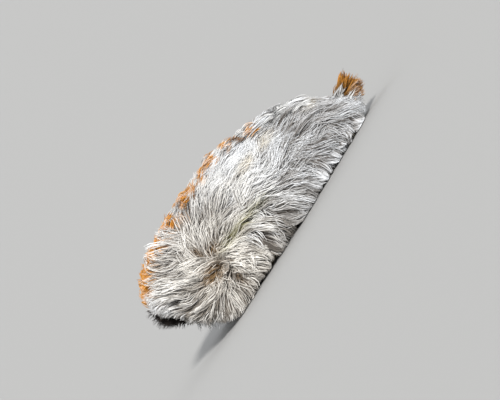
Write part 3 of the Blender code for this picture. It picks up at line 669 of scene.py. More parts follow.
def flank_hair(start, end, side, seed):
    """Every hair of one length of one flank: points, colours, widths and bake places."""
    look = bpy.context.scene.larva_coat
    draw = np.random.default_rng(seed)
    leaders, roots, tousled = plant(start, end, draw)
    locks_of = nearest(roots, leaders)
    locks, lock_tone = draw_locks(leaders, draw)
    lock = Strands(*(part[locks_of] for part in locks))
    wisps, wisp_tone, wisp_wave, wisp_beat = draw_wisps(roots, lock, lock_tone[locks_of], tousled, draw)
    owner = np.repeat(np.arange(len(roots)), look.hairs_per_wisp)
    total = len(owner)
    hairs, wisps = draw_hairs(wisps, owner, draw)

    # hairs come together to their wisp, and wisps to their lock, towards the tips
    skirted, fringed, fanned = zones(roots)
    lock_path, wisp_path, path = (comb_strands(strands, side) for strands in (locks, wisps, hairs))
    to_lock = 0.26 + 0.42 * ramp(roots[:, 1], 10.5, 2.0) - 0.36 * fanned
    to_lock = to_lock[:, None] * SHARES**1.4
    to_wisp = (0.6 + 0.25 * fringed[owner] - 0.15 * fanned[owner])[:, None] * SHARES**1.2
    wisp_path = [w + (l[locks_of] - w) * to_lock for w, l in zip(wisp_path, lock_path)]
    path = [h + (w[owner] - h) * to_wisp for h, w in zip(path, wisp_path)]

    # dark hairs lie a little under the bright ones
    station, drop = hairs.roots.T
    phase = wisp_wave[owner] + draw.normal(0, 0.7, (total, 2))
    low = ramp(drop, 10.6, 2.4)
    # the extra dark hair low down is painted shade on the lower flank
    dark = draw.random(total) < DARK_SHARE + DARK_SHARE_LOW * low
    path[2] = path[2] - (dark * (0.03 + 0.09 * low))[:, None] * SHARES
    ends = spot(*(step[:, (0, -1)] for step in path), side)
    length = np.linalg.norm(ends[:, 1] - ends[:, 0], axis=-1)
    strength = np.clip(length / FULL_LENGTH, 0.0, 1.0) * (1 - 0.65 * fringed[owner])
    points = waved(path, side, strength, wisp_beat[owner], phase)

    deeper = np.maximum(low, skirted[owner])
    # painted shade: the tone drops low on the flank
    tone = MIDDLE_TONE + wisp_tone[owner] - 0.12 * low
    tone, rustiness = hair_tones(hairs.roots, tone, dark, deeper, draw)
    # the roots are seen round the whorl, and where the coat parts along the flank: there the dark colour
    # and painted shade of the roots are lifted
    away = np.hypot(station - WHORL_STATION, drop - WHORL_DROP)
    open_roots = 0.94 * np.exp(-((away / 4.2) ** 2))
    parted = 0.55 * np.exp(-(((drop - 7.6) / 2.6) ** 2)) * ramp(station, 9.0, 3.0)
    open_roots = np.maximum(open_roots, parted * ramp(station, 22.0, -4.0))
    tint = flank_tint(points, tone, open_roots, draw)
    share = rust_share(wisp_path, roots[:, 0], hairs.roots, owner, draw)
    deep, rust = np.array(look.rust_deep), np.array(look.rust)
    warm = deep + (rust - deep) * rustiness
    tint = tint + (warm - tint) * share[..., None]
    width = hair_widths(0.75, 1.2, total, draw)
    place = np.stack(((station - start) / (end - start), drop / BELLY_DROP), axis=1)
    full = (length > STUB) | (away < OPEN_WHORL) | (drop < 3.0)
    return points[full], tint[full], width[full], np.clip(place[full], 0.01, 0.99)


def waved(path, side, strength, beats, phase):
    """Points of hairs that wave along their paths, with the gaps of the coat combed open."""
    station, drop, depth = path
    grow = bpy.context.scene.larva_coat.wave * TO_MM * strength[:, None]
    grow = grow * SHARES[None, :] ** 0.8
    beat = 2 * math.pi * beats[:, None] * SHARES[None, :]
    station = station + grow * np.sin(beat + phase[:, :1])
    drop = drop + grow * np.sin(1.25 * beat + phase[:, 1:])
    depth = depth + 0.02 * SHARES * np.sin(beat + phase[:, 1:])
    station, drop = part_gaps(station, drop, spot(station, drop, depth, side))
    points = spot(station, drop, depth, side)
    points[..., 2] = np.maximum(points[..., 2], FLOOR_CLEAR)
    return points


def hair_tones(roots, tone, dark, deeper, draw):
    """Tone of each hair from smoke at 0 to silver at 1, with painted light and shade by region, and how
    bright it is where it is rust.
    """
    # low on the flank and in the rear skirt, dark hairs are painted darker as shade in the gaps between
    # wisps, and bright hairs are made lighter
    behind = deeper * ramp(roots[:, 0], 18.0, 3.0)
    tone = tone + np.where(dark, -0.5 - 0.2 * deeper - 0.25 * behind, 0.18 + 0.16 * behind)
    tone = tone + draw.normal(0, HAIR_TONE, len(roots))
    rustiness = np.clip(tone, 0, 1)[:, None, None]
    # painted light and shade: each region lightens or darkens the tone of the hair rooted in it
    for station, drop, wide, tall, shift in PAINTED_LIGHT_AND_SHADE:
        along, down = (roots[:, 0] - station) / wide, (roots[:, 1] - drop) / tall
        tone += shift * np.exp(-(along**2) - down**2)
    return np.clip(tone, -0.34 * deeper - 0.14 * behind, 1)[:, None], rustiness


def rust_share(wisp_path, station, roots, owner, draw):
    """How far each point of the hair is rust, near the tips of the wisps that end in the crest."""
    end_station, end_drop = wisp_path[0][:, -1], wisp_path[1][:, -1]
    reach = CREST_DROP * (1 - 0.25 * ramp(end_station, 5.0, 8.0) - 0.25 * ramp(end_station, 17.0, 4.0))
    rusty = draw.random(len(station)) < RUSTY_WISPS + 0.14 * ramp(station, 10.0, -2.0)
    rusty = rusty * smooth((reach - np.abs(end_drop)) / 1.3) * in_crest(end_station)
    rust_from = draw.uniform(*RUST_FROM, (len(roots), 1)) - 0.16 * ramp(roots[:, :1], 8.0, -2.0)
    return rusty[owner, None] * ramp(SHARES[None, :], rust_from, RUST_SPAN)


def hair_widths(low, high, count, draw):
    """Half widths along some hairs, in metres."""
    half = bpy.context.scene.larva_coat.hair_width * 0.5
    taper = np.interp(SHARES, (0.0, 0.25, 0.6, 0.85, 1.0), (0.75, 1.0, 0.9, 0.6, 0.22))
    return half * draw.uniform(low, high, count)[:, None] * taper[None, :]


def in_crest(stations):
    """Where along the back the tips of the flank hair are rust too."""
    inside = [ramp(stations, start, 0.3) * ramp(stations, end, -0.3) for start, end in CREST_RANGES]
    return np.max(inside, axis=0)


def flank_tint(points, tone, open_roots, draw):
    """Silver and smoke hair whose dark roots are partly their own colour and partly painted shade deep in
    the coat, and the flank's patches of colour, some of them painted shade.
    """
    look = bpy.context.scene.larva_coat
    silver, smoke, root = (np.array(c) for c in (look.silver, look.smoke, look.root))
    hair = smoke + (silver - smoke) * np.maximum(tone, 0)[..., None]
    hair = hair * (1 + 1.6 * np.minimum(tone, 0))[..., None]
    # from root to tip each hair goes from the root colour to its own: partly dark roots, partly painted
    # shade deep in the coat
    bright = np.interp(SHARES, (0.0, 0.3, 0.6, 0.85, 1.0), (0.0, 0.22, 0.62, 0.95, 1.0))
    bright = bright[None, :] + (1 - bright[None, :]) * open_roots[:, None]
    tint = root + (hair - root) * bright[..., None]
    away = np.hypot(points[:, 0, 0] + MIDDLE - WHORL_STATION, points[:, 0, 2] - WARM_HEIGHT)
    warm = np.exp(-((away / WARM_REACH) ** 2))
    tint = tint * (COOL + (WARM - COOL) * warm[:, None, None])
    across, height = photo_plane(points)
    for what, centre, level, wide, tall, strength in PATCHES:
        colour = np.array(getattr(look, what))
        near = np.exp(-(((across - centre) / wide) ** 2) - ((height - level) / tall) ** 2)
        near = np.clip(near * strength * draw.uniform(0.1, 1.7, len(points))[:, None], 0, 1)
        tint = tint + (colour - tint) * near[..., None]
    return tint


# ---- node trees and hair meshes


class NodeDesk:
    """A few short ways to add and join the nodes of a material or a group."""

    def __init__(self, tree):
        self.tree = tree

    def add(self, kind, inputs=None, **settings):
        node = self.tree.nodes.new(kind)
        for key, value in settings.items():
            setattr(node, key, value)
        self.fill(node, inputs or {})
        return node

    def fill(self, node, inputs):
        """Set each input of a node to a value, or join it to a socket."""
        for key, value in inputs.items():
            if isinstance(value, bpy.types.NodeSocket):
                self.tree.links.new(value, node.inputs[key])
            else:
                node.inputs[key].default_value = value

    def math(self, operation, first, second):
        return self.add("ShaderNodeMath", {0: first, 1: second}, operation=operation).outputs[0]

    def noise(self, scale, detail, coordinates):
        wanted = {"Scale": scale, "Detail": detail, "Vector": coordinates}
        return self.add("ShaderNodeTexNoise", wanted).outputs["Fac"]

    def blend(self, share, first, second, kind="MIX"):
        wanted = {0: share, 6: first, 7: second}
        return self.add("ShaderNodeMix", wanted, data_type="RGBA", blend_type=kind).outputs[2]


def sweep_tree():
    """A tree that sweeps a round profile along every hair and gives it its bake patch."""
    tree = bpy.data.node_groups.new("hair_sweep", "GeometryNodeTree")
    face = tree.interface
    face.new_socket("Hairs", in_out="INPUT", socket_type="NodeSocketGeometry")
    sides = face.new_socket("Sides", in_out="INPUT", socket_type="NodeSocketInt")
    sides.default_value = 3
    width = face.new_socket("Width", in_out="INPUT", socket_type="NodeSocketFloat")
    width.default_value = 1.0
    patch = face.new_socket("Patch", in_out="INPUT", socket_type="NodeSocketFloat")
    patch.default_value = 0.003
    face.new_socket("Finish", in_out="INPUT", socket_type="NodeSocketMaterial")
    face.new_socket("Coat", in_out="OUTPUT", socket_type="NodeSocketGeometry")
    desk = NodeDesk(tree)
    add = desk.add

    def named(name, kind):
        return add("GeometryNodeInputNamedAttribute", {"Name": name}, data_type=kind).outputs["Attribute"]

    def stored(name, kind, domain, geometry, value):
        wanted = {"Geometry": geometry, "Name": name, "Value": value}
        node = add("GeometryNodeStoreNamedAttribute", wanted, data_type=kind, domain=domain)
        return node.outputs["Geometry"]

    enter = add("NodeGroupInput").outputs
    curves = add("GeometryNodeMeshToCurve", {"Mesh": enter["Hairs"]}).outputs["Curve"]
    wanted = {"Radius": 1.0, "Resolution": enter["Sides"]}
    ring = add("GeometryNodeCurvePrimitiveCircle", wanted, mode="RADIUS").outputs["Curve"]
    factor = add("GeometryNodeSplineParameter").outputs["Factor"]
    profile = stored("around", "FLOAT", "POINT", ring, factor)
    thick = desk.math("MULTIPLY", named("thick", "FLOAT"), enter["Width"])
    wanted = {"Curve": curves, "Profile Curve": profile, "Scale": thick, "Fill Caps": True}
    swept = add("GeometryNodeCurveToMesh", wanted).outputs["Mesh"]

    offset = []
    for name in ("along", "around"):
        middle = desk.math("SUBTRACT", named(name, "FLOAT"), 0.5)
        offset.append(desk.math("MULTIPLY", middle, enter["Patch"]))
    offset = add("ShaderNodeCombineXYZ", {"X": offset[0], "Y": offset[1]}).outputs["Vector"]
    place = add("ShaderNodeVectorMath", {0: named("place", "FLOAT_VECTOR"), 1: offset}, operation="ADD")
    swept = stored("OFBake", "FLOAT2", "CORNER", swept, place.outputs["Vector"])
    swept = add("GeometryNodeSetShadeSmooth", {"Geometry": swept}).outputs["Geometry"]
    swept = add("GeometryNodeRealizeInstances", {"Geometry": swept}).outputs["Geometry"]
    wanted = {"Geometry": swept, "Material": enter["Finish"]}
    swept = add("GeometryNodeSetMaterial", wanted).outputs["Geometry"]
    add("NodeGroupOutput", {"Coat": swept})
    return tree


def hair_piece(name, hairs, material, nodes=()):
    """Sweep a set of hairs into one closed-hair mesh and hand it to the frame."""
    points, tint, width, place = hairs
    count, steps = points.shape[:2]
    mesh = bpy.data.meshes.new(name)
    mesh.vertices.add(count * steps)
    mesh.vertices.foreach_set("co", (points * MM).astype(np.float32).ravel())
    first = (np.arange(count)[:, None] * steps + np.arange(steps - 1)[None, :]).ravel()
    mesh.edges.add(len(first))
    mesh.edges.foreach_set("vertices", np.stack((first, first + 1), axis=1).astype(np.int32).ravel())
    shares = np.broadcast_to(SHARES, (count, steps))
    spread = np.concatenate((place, np.zeros((count, 1))), axis=1)
    spread = np.repeat(spread, steps, axis=0)
    solid = np.concatenate((tint, np.ones((*tint.shape[:2], 1))), axis=2)
    for key, kind, field, values in (
        ("thick", "FLOAT", "value", np.broadcast_to(width, (count, steps))),
        ("along", "FLOAT", "value", shares),
        ("place", "FLOAT_VECTOR", "vector", spread),
        ("tint", "FLOAT_COLOR", "color", solid),
    ):
        layer = mesh.attributes.new(key, kind, "POINT")
        layer.data.foreach_set(field, np.ascontiguousarray(values, np.float32).ravel())
    mesh.update()
    piece = add_object(name, mesh)
    tree = bpy.data.node_groups.get("hair_sweep") or sweep_tree()
    swept = piece.modifiers.new("sweep", "NODES")
    swept.node_group = tree
    for item in tree.interface.items_tree:
        if item.name == "Finish":
            swept[item.identifier] = material
    graph = bpy.context.evaluated_depsgraph_get()
    result = bpy.data.meshes.new_from_object(piece.evaluated_get(graph))
    piece.modifiers.clear()
    piece.data = result
    bpy.data.meshes.remove(mesh)
    result.name = name
    for key in ("thick", "place", "around"):
        layer = result.attributes.get(key)
        if layer:
            result.attributes.remove(layer)
    join_frame(piece, nodes)
    return piece


def add_object(name, data):
    piece = bpy.data.objects.new(name, data)
    bpy.context.scene.collection.objects.link(piece)
    return piece


def join_frame(piece, nodes=()):
    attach(piece, BODY)
    if nodes:
        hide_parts(*nodes)


# ---- finishes


def group_sockets(name, inputs, outputs):
    """A new shader group with its sockets, as a desk and its two ends."""
    tree = bpy.data.node_groups.new(name, "ShaderNodeTree")
    for label, kind, value in inputs:
        socket = tree.interface.new_socket(label, in_out="INPUT", socket_type="NodeSocket" + kind)
        socket.default_value = value
    for label, kind in outputs:
        tree.interface.new_socket(label, in_out="OUTPUT", socket_type="NodeSocket" + kind)
    desk = NodeDesk(tree)
    return desk, desk.add("NodeGroupInput"), desk.add("NodeGroupOutput")


def hair_tone_group():
    """Uneven tone along and between hairs, darker at the roots."""
    found = bpy.data.node_groups.get("hair_tone")
    if found:
        return found
    desk, enter, leave = group_sockets(
        "hair_tone",
        (
            ("Tint", "Color", (0.8, 0.8, 0.8, 1)),
            ("Along", "Float", 1.0),
            ("Root Shade", "Float", 0.4),
            ("Mottle", "Float", 0.25),
            ("Grain", "Float", 2600.0),
        ),
        (("Color", "Color"), ("Roughness", "Float")),
    )
    place = desk.add("ShaderNodeTexCoord").outputs["Object"]
    fine = desk.noise(enter.outputs["Grain"], 2.0, place)
    uneven = desk.math("MULTIPLY", desk.math("SUBTRACT", fine, 0.5), enter.outputs["Mottle"])
    to_tip = desk.math("SUBTRACT", 1.0, enter.outputs["Along"])
    shade = desk.math("MULTIPLY", desk.math("POWER", to_tip, 2.0), enter.outputs["Root Shade"])
    level = desk.math("SUBTRACT", desk.math("ADD", 1.0, uneven), shade)
    grey = desk.add("ShaderNodeCombineColor", {0: level, 1: level, 2: level}).outputs[0]
    colour = desk.blend(1.0, enter.outputs["Tint"], grey, "MULTIPLY")
    rough = desk.math("ADD", 0.42, desk.math("MULTIPLY", fine, 0.22))
    desk.fill(leave, {"Color": colour, "Roughness": rough})
    return desk.tree


def skin_grain_group():
    """Two tones of skin or shell, mottled, with fine wrinkles."""
    found = bpy.data.node_groups.get("skin_grain")
    if found:
        return found
    desk, enter, leave = group_sockets(
        "skin_grain",
        (
            ("Light", "Color", (0.6, 0.5, 0.3, 1)),
            ("Dark", "Color", (0.2, 0.1, 0.05, 1)),
            ("Mottle", "Float", 0.6),
            ("Grain", "Float", 900.0),
            ("Roughness", "Float", 0.5),
        ),
        (("Color", "Color"), ("Roughness", "Float"), ("Height", "Float")),
    )
    place = desk.add("ShaderNodeTexCoord").outputs["Object"]
    broad = desk.noise(enter.outputs["Grain"], 4.0, place)
    fine = desk.noise(desk.math("MULTIPLY", enter.outputs["Grain"], 6.0), 3.0, place)
    share = desk.math("MULTIPLY", desk.math("MULTIPLY", broad, broad), enter.outputs["Mottle"])
    share = desk.math("MULTIPLY", share, 2.0)
    colour = desk.blend(share, enter.outputs["Light"], enter.outputs["Dark"])
    rough = desk.math("ADD", enter.outputs["Roughness"], desk.math("MULTIPLY", fine, 0.2))
    height = desk.math("ADD", desk.math("MULTIPLY", broad, 0.6), desk.math("MULTIPLY", fine, 0.4))
    desk.fill(leave, {"Color": colour, "Roughness": rough, "Height": height})
    return desk.tree


def start_finish(name):
    """A new material with a group-ready desk and its Principled shader."""
    material = bpy.data.materials.new(name)
    material.use_nodes = True
    return material, NodeDesk(material.node_tree), material.node_tree.nodes["Principled BSDF"]


def hair_finish(name, root_shade, mottle):
    """Hair that takes its colour from the tint carried by every hair."""
    found = bpy.data.materials.get(name)
    if found:
        return found
    material, desk, shader = start_finish(name)
    tint = desk.add("ShaderNodeAttribute", attribute_name="tint").outputs["Color"]
    along = desk.add("ShaderNodeAttribute", attribute_name="along").outputs["Fac"]
    wanted = {"Tint": tint, "Along": along, "Root Shade": root_shade, "Mottle": mottle}
    tone = desk.add("ShaderNodeGroup", wanted, node_tree=hair_tone_group())
    desk.fill(shader, {
        "Base Color": tone.outputs["Color"],
        "Roughness": tone.outputs["Roughness"],
        "Specular IOR Level": 0.3,
    })
    return material


def grained(desk, shader, bump, wanted):
    """Give a shader the colour, roughness and wrinkles of the skin grain group."""
    skin = desk.add("ShaderNodeGroup", wanted, node_tree=skin_grain_group())
    relief = {"Height": skin.outputs["Height"], "Strength": bump, "Distance": 0.0001}
    desk.fill(shader, {
        "Base Color": skin.outputs["Color"],
        "Roughness": skin.outputs["Roughness"],
        "Normal": desk.add("ShaderNodeBump", relief).outputs["Normal"],
    })


def shell_finish(name, light, dark, grain, roughness, bump, mottle=0.6, coat=0.0):
    """Skin or horn with its own mottle and wrinkles."""
    found = bpy.data.materials.get(name)
    if found:
        return found
    material, desk, shader = start_finish(name)
    grained(desk, shader, bump, {
        "Light": (*light, 1), "Dark": (*dark, 1), "Grain": grain, "Mottle": mottle, "Roughness": roughness,
    })
    shader.inputs["Coat Weight"].default_value = coat
    return material


def larva_skin_finish():
    """Smoky skin under the coat that pales to the bare belly."""
    body = bpy.context.scene.larva_body
    material, desk, shader = start_finish("larva_skin")
    pale = desk.add("ShaderNodeAttribute", attribute_name="pale").outputs["Fac"]
    light = desk.blend(pale, (*body.skin_dark, 1), (*body.skin_pale, 1))
    dark = desk.blend(0.6, light, (0.02, 0.015, 0.01, 1))
    grained(desk, shader, 0.6, {"Light": light, "Dark": dark, "Grain": 700.0, "Roughness": 0.5})
    return material


# ---- smooth solids


def add_solid(name, points, faces, material, nodes=()):
    """A closed smooth mesh from points in millimetres, riding on the body."""
    mesh = bpy.data.meshes.new(name)
    mesh.from_pydata([tuple(np.array(point) * MM) for point in points], [], faces)
    mesh.update()
    bm = bmesh.new()
    bm.from_mesh(mesh)
    bmesh.ops.remove_doubles(bm, verts=bm.verts[:], dist=0.001 * MM)
    bmesh.ops.recalc_face_normals(bm, faces=bm.faces[:])
    bm.to_mesh(mesh)
    bm.free()
    mesh.shade_smooth()
    mesh.materials.append(material)
    piece = add_object(name, mesh)
    join_frame(piece, nodes)
    return piece


def tube_faces(rows, count, first=0):
    """Faces of a closed tube of rings whose two ends are each one point, kept last."""
    faces = []
    for row in range(rows - 1):
        for step in range(count):
            a = first + row * count + step
            b = first + row * count + (step + 1) % count
            faces.append((a, b, b + count, a + count))
    end = first + (rows - 1) * count
    tip = first + rows * count
    for step in range(count):
        after = (step + 1) % count
        faces.append((first + after, first + step, tip))
        faces.append((end + step, end + after, tip + 1))
    return faces


def limb_rings(path, radii, count, flat=1.0):
    """Rings round a path in millimetres, upright to it, with their two end points."""
    path = np.array(path, float)
    run = np.gradient(path, axis=0)
    run /= np.linalg.norm(run, axis=1)[:, None]
    points = []
    for centre, ahead, radius in zip(path, run, radii):
        across = np.cross(ahead, (1.0, 0.0, 0.02))
        across /= np.linalg.norm(across)
        upward = np.cross(across, ahead)
        for step in range(count):
            angle = 2 * math.pi * step / count
            points.append(centre + radius * (across * math.cos(angle) + upward * flat * math.sin(angle)))
    return points + [path[0], path[-1]]


def smooth_path(path, count):
    """A path through a few points, resampled on a smooth curve."""
    path = np.array(path, float)
    at = np.arange(len(path))
    table = np.column_stack((at, path))
    where = np.linspace(0, len(path) - 1, count)
    return np.stack([read_column(table, where, axis + 1) for axis in range(3)], axis=1)


# ---- pieces


# Rings of the skin, points in a ring, and the folds between the segments
SKIN_RINGS = 120
SKIN_SIDES = 72
FOLD_STATION = 8.75
FOLD_LENGTH = 2.1
FOLD_DEPTH = 0.10


class LARVA_OT_skin(bpy.types.Operator):
    """Make the skin of the body, under the coat"""

    bl_idname = "larva.skin"
    bl_label = "Skin"

    def execute(self, context):
        rows, count = SKIN_RINGS, SKIN_SIDES
        shares = (1 - np.cos(math.pi * np.arange(1, rows + 1) / (rows + 1))) / 2
        stations = CORE_START + 1.0 + (CORE_END - CORE_START - 1.5) * shares
        angles = 2 * math.pi * np.arange(count) / count
        turns = np.where(angles <= math.pi, angles, 2 * math.pi - angles)
        station, turn = np.meshgrid(stations, turns, indexing="ij")
        fold = FOLD_DEPTH * np.cos(2 * math.pi * (station - FOLD_STATION) / FOLD_LENGTH)
        fold = fold * ramp(station, 6, 2)
        depth = core_depth(station, turn)
        flesh_y, flesh_z = section(FLESH, station, turn)
        coat_y, coat_z = section(COAT, station, turn)
        y = flesh_y + (coat_y - flesh_y) * depth
        z = flesh_z + (coat_z - flesh_z) * depth
        side = np.where(angles <= math.pi, -1, 1)[None, :]
        centre = z.mean(axis=1, keepdims=True)
        shrink = 1 - 0.03 * (1 - fold * 5) * 0.5
        points = np.stack((station - MIDDLE, y * side * shrink, centre + (z - centre) * shrink), axis=-1)
        ends = [points[0].mean(axis=0), points[-1].mean(axis=0)]
        flat = list(points.reshape(-1, 3)) + ends
        piece = add_solid(
            "larva_skin", flat, tube_faces(rows, count), larva_skin_finish(),
            ("thorax", "abdomen_front", "abdomen_middle", "abdomen_rear"),
        )
        mesh = piece.data
        place = np.zeros(len(mesh.vertices) * 3, np.float32)
        mesh.vertices.foreach_get("co", place)
        place = place.reshape(-1, 3) / MM
        low = ramp(place[:, 2], 2.6, -1.0) * ramp(np.abs(place[:, 1]), 2.6, -0.8)
        mesh.attributes.new("pale", "FLOAT", "POINT").data.foreach_set("value", low.astype(np.float32))
        layer = mesh.uv_layers.new(name="OFBake")
        for loop in mesh.loops:
            x, y, z = place[loop.vertex_index]
            round_body = math.atan2(y, z - 4.2) / (2 * math.pi) + 0.5
            layer.data[loop.index].uv = ((x + MIDDLE) / LENGTH, round_body)
        return {"FINISHED"}


class LARVA_OT_flank_coat(bpy.types.Operator):
    """Make the silver coat of both flanks, one piece for each length and side"""

    bl_idname = "larva.flank_coat"
    bl_label = "Flank coat"

    def execute(self, context):
        material = hair_finish("silver_hair", 0.3, 0.35)
        for number, (name, start, end, nodes) in enumerate(COAT_LENGTHS):
            for side, word in ((-1, "left"), (1, "right")):
                hairs = flank_hair(start, end, side, 100 + 10 * number + side)
                hair_piece(f"{name}_coat_{word}", hairs, material, nodes)
        return {"FINISHED"}


def straight(roots, tips):
    """Points along straight hairs from their roots to their tips."""
    return roots[:, None, :] + (tips - roots)[:, None, :] * SHARES[None, :, None]


def wisp_hairs(paths, spread, members, tints, draw):
    """Hairs that follow the paths of a few wisps and come together at their tips."""
    owner = np.repeat(np.arange(len(paths)), members)
    total = len(owner)
    along = SHARES[None, :] * draw.uniform(0.78, 1.0, (total, 1)) * (POINTS - 1)
    low = np.minimum(along.astype(int), POINTS - 2)
    part = (along - low)[..., None]
    points = paths[owner[:, None], low] * (1 - part) + paths[owner[:, None], low + 1] * part
    taper = np.interp(SHARES, (0, 0.6, 1), (1.0, 0.9, 0.4))[None, :, None]
    points = points + spread * draw.normal(0, 1, (total, 1, 3)) * taper
    wave = draw.uniform(0, 2 * math.pi, (total, 1, 3))
    wave = wave + draw.uniform(4, 9, (total, 1, 1)) * SHARES[None, :, None]
    points = points + 0.035 * np.sin(wave) * SHARES[None, :, None]
    tint = tints[owner] * np.clip(draw.normal(0.9, 0.22, (total, 1, 1)), 0.3, 1.2)
    width = hair_widths(0.7, 1.1, total, draw)
    place = np.stack(((points[:, 0, 0] + MIDDLE) / LENGTH, 0.5 + 0.1 * points[:, 0, 1]), axis=1)
    return points, np.clip(tint, 0, 1), width, np.clip(place, 0.01, 0.99)


# Wisps in each tuft of the crest, and hairs in each wisp
WISPS_IN_TUFT = 10
HAIRS_IN_WISP = 10
# The tufts: tip station, tip height, length, way at the root, way at the tip, and the share of
# the length from which they are rust, past 1 for a silver one
SILVER_ALL = 2.0
CREST_TUFTS = (
    (1.35, 8.75, 2.2, 150, 112, 0.40),
    (1.75, 9.35, 2.2, 148, 108, 0.40),
    (2.35, 9.9, 2.3, 146, 104, 0.40),
    (3.0, 10.3, 2.4, 142, 96, 0.42),
    (3.65, 10.55, 2.5, 138, 88, 0.42),
    (4.4, 10.85, 2.6, 134, 80, 0.42),
    (5.2, 11.05, 2.7, 130, 70, 0.45),
    (6.0, 11.15, 2.8, 126, 60, 0.45),
    (6.8, 11.2, 2.8, 122, 52, 0.50),
    (7.5, 11.2, 2.7, 116, 44, 0.60),
    (8.1, 11.1, 2.6, 100, 40, SILVER_ALL),
    (8.9, 11.1, 2.5, 84, 24, 0.45),
    (9.6, 11.15, 2.5, 78, 8, 0.45),
    (10.3, 11.1, 2.4, 66, -6, 0.45),
    (11.1, 11.1, 2.4, 66, 10, SILVER_ALL),
    (12.2, 10.9, 2.0, 84, -40, 0.30),
    (12.6, 10.75, 2.1, 80, -60, 0.30),
    (13.2, 11.1, 2.2, 84, 40, 0.50),
    (13.8, 11.2, 2.4, 72, 30, 0.50),
    (14.5, 11.2, 2.5, 58, 14, SILVER_ALL),
    (15.3, 11.1, 2.3, 58, 12, 0.55),
    (16.0, 11.1, 2.4, 52, 4, 0.52),
    (16.8, 10.95, 2.4, 48, -8, 0.52),
    (17.6, 10.75, 2.4, 46, -18, 0.52),
    (18.4, 10.6, 2.3, 44, -8, SILVER_ALL),
    (19.2, 10.4, 2.3, 40, -12, 0.52),
    (19.8, 10.15, 2.3, 38, -18, 0.52),
    (20.4, 9.8, 2.3, 36, -26, 0.52),
    (21.0, 9.5, 2.2, 34, -16, SILVER_ALL),
    (21.6, 9.3, 2.2, 32, -20, 0.5),
    (22.2, 8.95, 2.2, 28, -34, 0.5),
    (23.0, 8.65, 2.2, 10, -12, SILVER_ALL),
    (24.0, 8.3, 2.2, 6, -12, SILVER_ALL),
    (25.0, 7.75, 2.2, 0, -16, SILVER_ALL),
    (25.9, 7.3, 2.2, -6, -20, SILVER_ALL),
    (26.6, 6.75, 2.2, -14, -28, SILVER_ALL),
    (27.5, 5.75, 2.2, -24, -36, SILVER_ALL),
)


class LARVA_OT_crest(bpy.types.Operator):
    """Make the rust tufts that stand along the back and curl over"""

    bl_idname = "larva.crest"
    bl_label = "Crest"

    def execute(self, context):
        look = context.scene.larva_coat
        draw = np.random.default_rng(31)
        each = WISPS_IN_TUFT
        gathered = []
        for station, height, length, root_way, tip_way, rust_from in CREST_TUFTS:
            size = length * draw.uniform(0.85, 1.1, each)
            first = np.radians(root_way + draw.normal(0, 7, each))
            last = np.radians(tip_way + draw.normal(0, 16, each))
            out = np.linspace(-1.7, 1.7, each) + draw.normal(0, 0.2, each)
            tip_x = station - MIDDLE + draw.normal(0, 0.16, each)
            tip_z = height - 0.14 * out**2 - np.abs(draw.normal(0, 0.1, each))
            back = SHARES[::-1]
            way = first[:, None] + (last - first)[:, None] * smooth(back)[None, :]
            stride = size[:, None] / (POINTS - 1)
            mean_way = (way[:, :-1] + way[:, 1:]) / 2
            down_x = np.cumsum(np.cos(mean_way) * stride, axis=1)
            down_z = np.cumsum(np.sin(mean_way) * stride, axis=1)
            zero = np.zeros((each, 1))
            x = (tip_x[:, None] - np.concatenate((zero, down_x), axis=1))[:, ::-1]
            z = (tip_z[:, None] - np.concatenate((zero, down_z), axis=1))[:, ::-1]
            y = out[:, None] * (0.75 + 0.35 * SHARES[None, :])
            kind = draw.choice(4, each, p=(0.70, 0.16, 0.06, 0.08))
            ends = np.array((look.rust, look.blush, look.silver, look.rust_deep))[kind]
            share = ramp(SHARES, rust_from, 0.22)[None, :, None]
            stem = np.array(look.silver) * 0.85
            tint = stem + (ends[:, None, :] - stem) * share
            # painted shade: the tufts darken towards their roots
            tint = tint * np.interp(SHARES, (0, 0.3, 1), (0.3, 0.85, 1))[None, :, None]
            gathered.append(wisp_hairs(np.stack((x, y, z), axis=-1), 0.12, HAIRS_IN_WISP, tint, draw))
        hairs = [np.concatenate(parts) for parts in zip(*gathered)]
        material = hair_finish("rust_hair", 0.35, 0.5)
        hair_piece("crest_tufts", hairs, material)
        return {"FINISHED"}


# Hairs in the fringe round the face, and on the throat
FACE_HAIRS = 1600
THROAT_HAIRS = 440


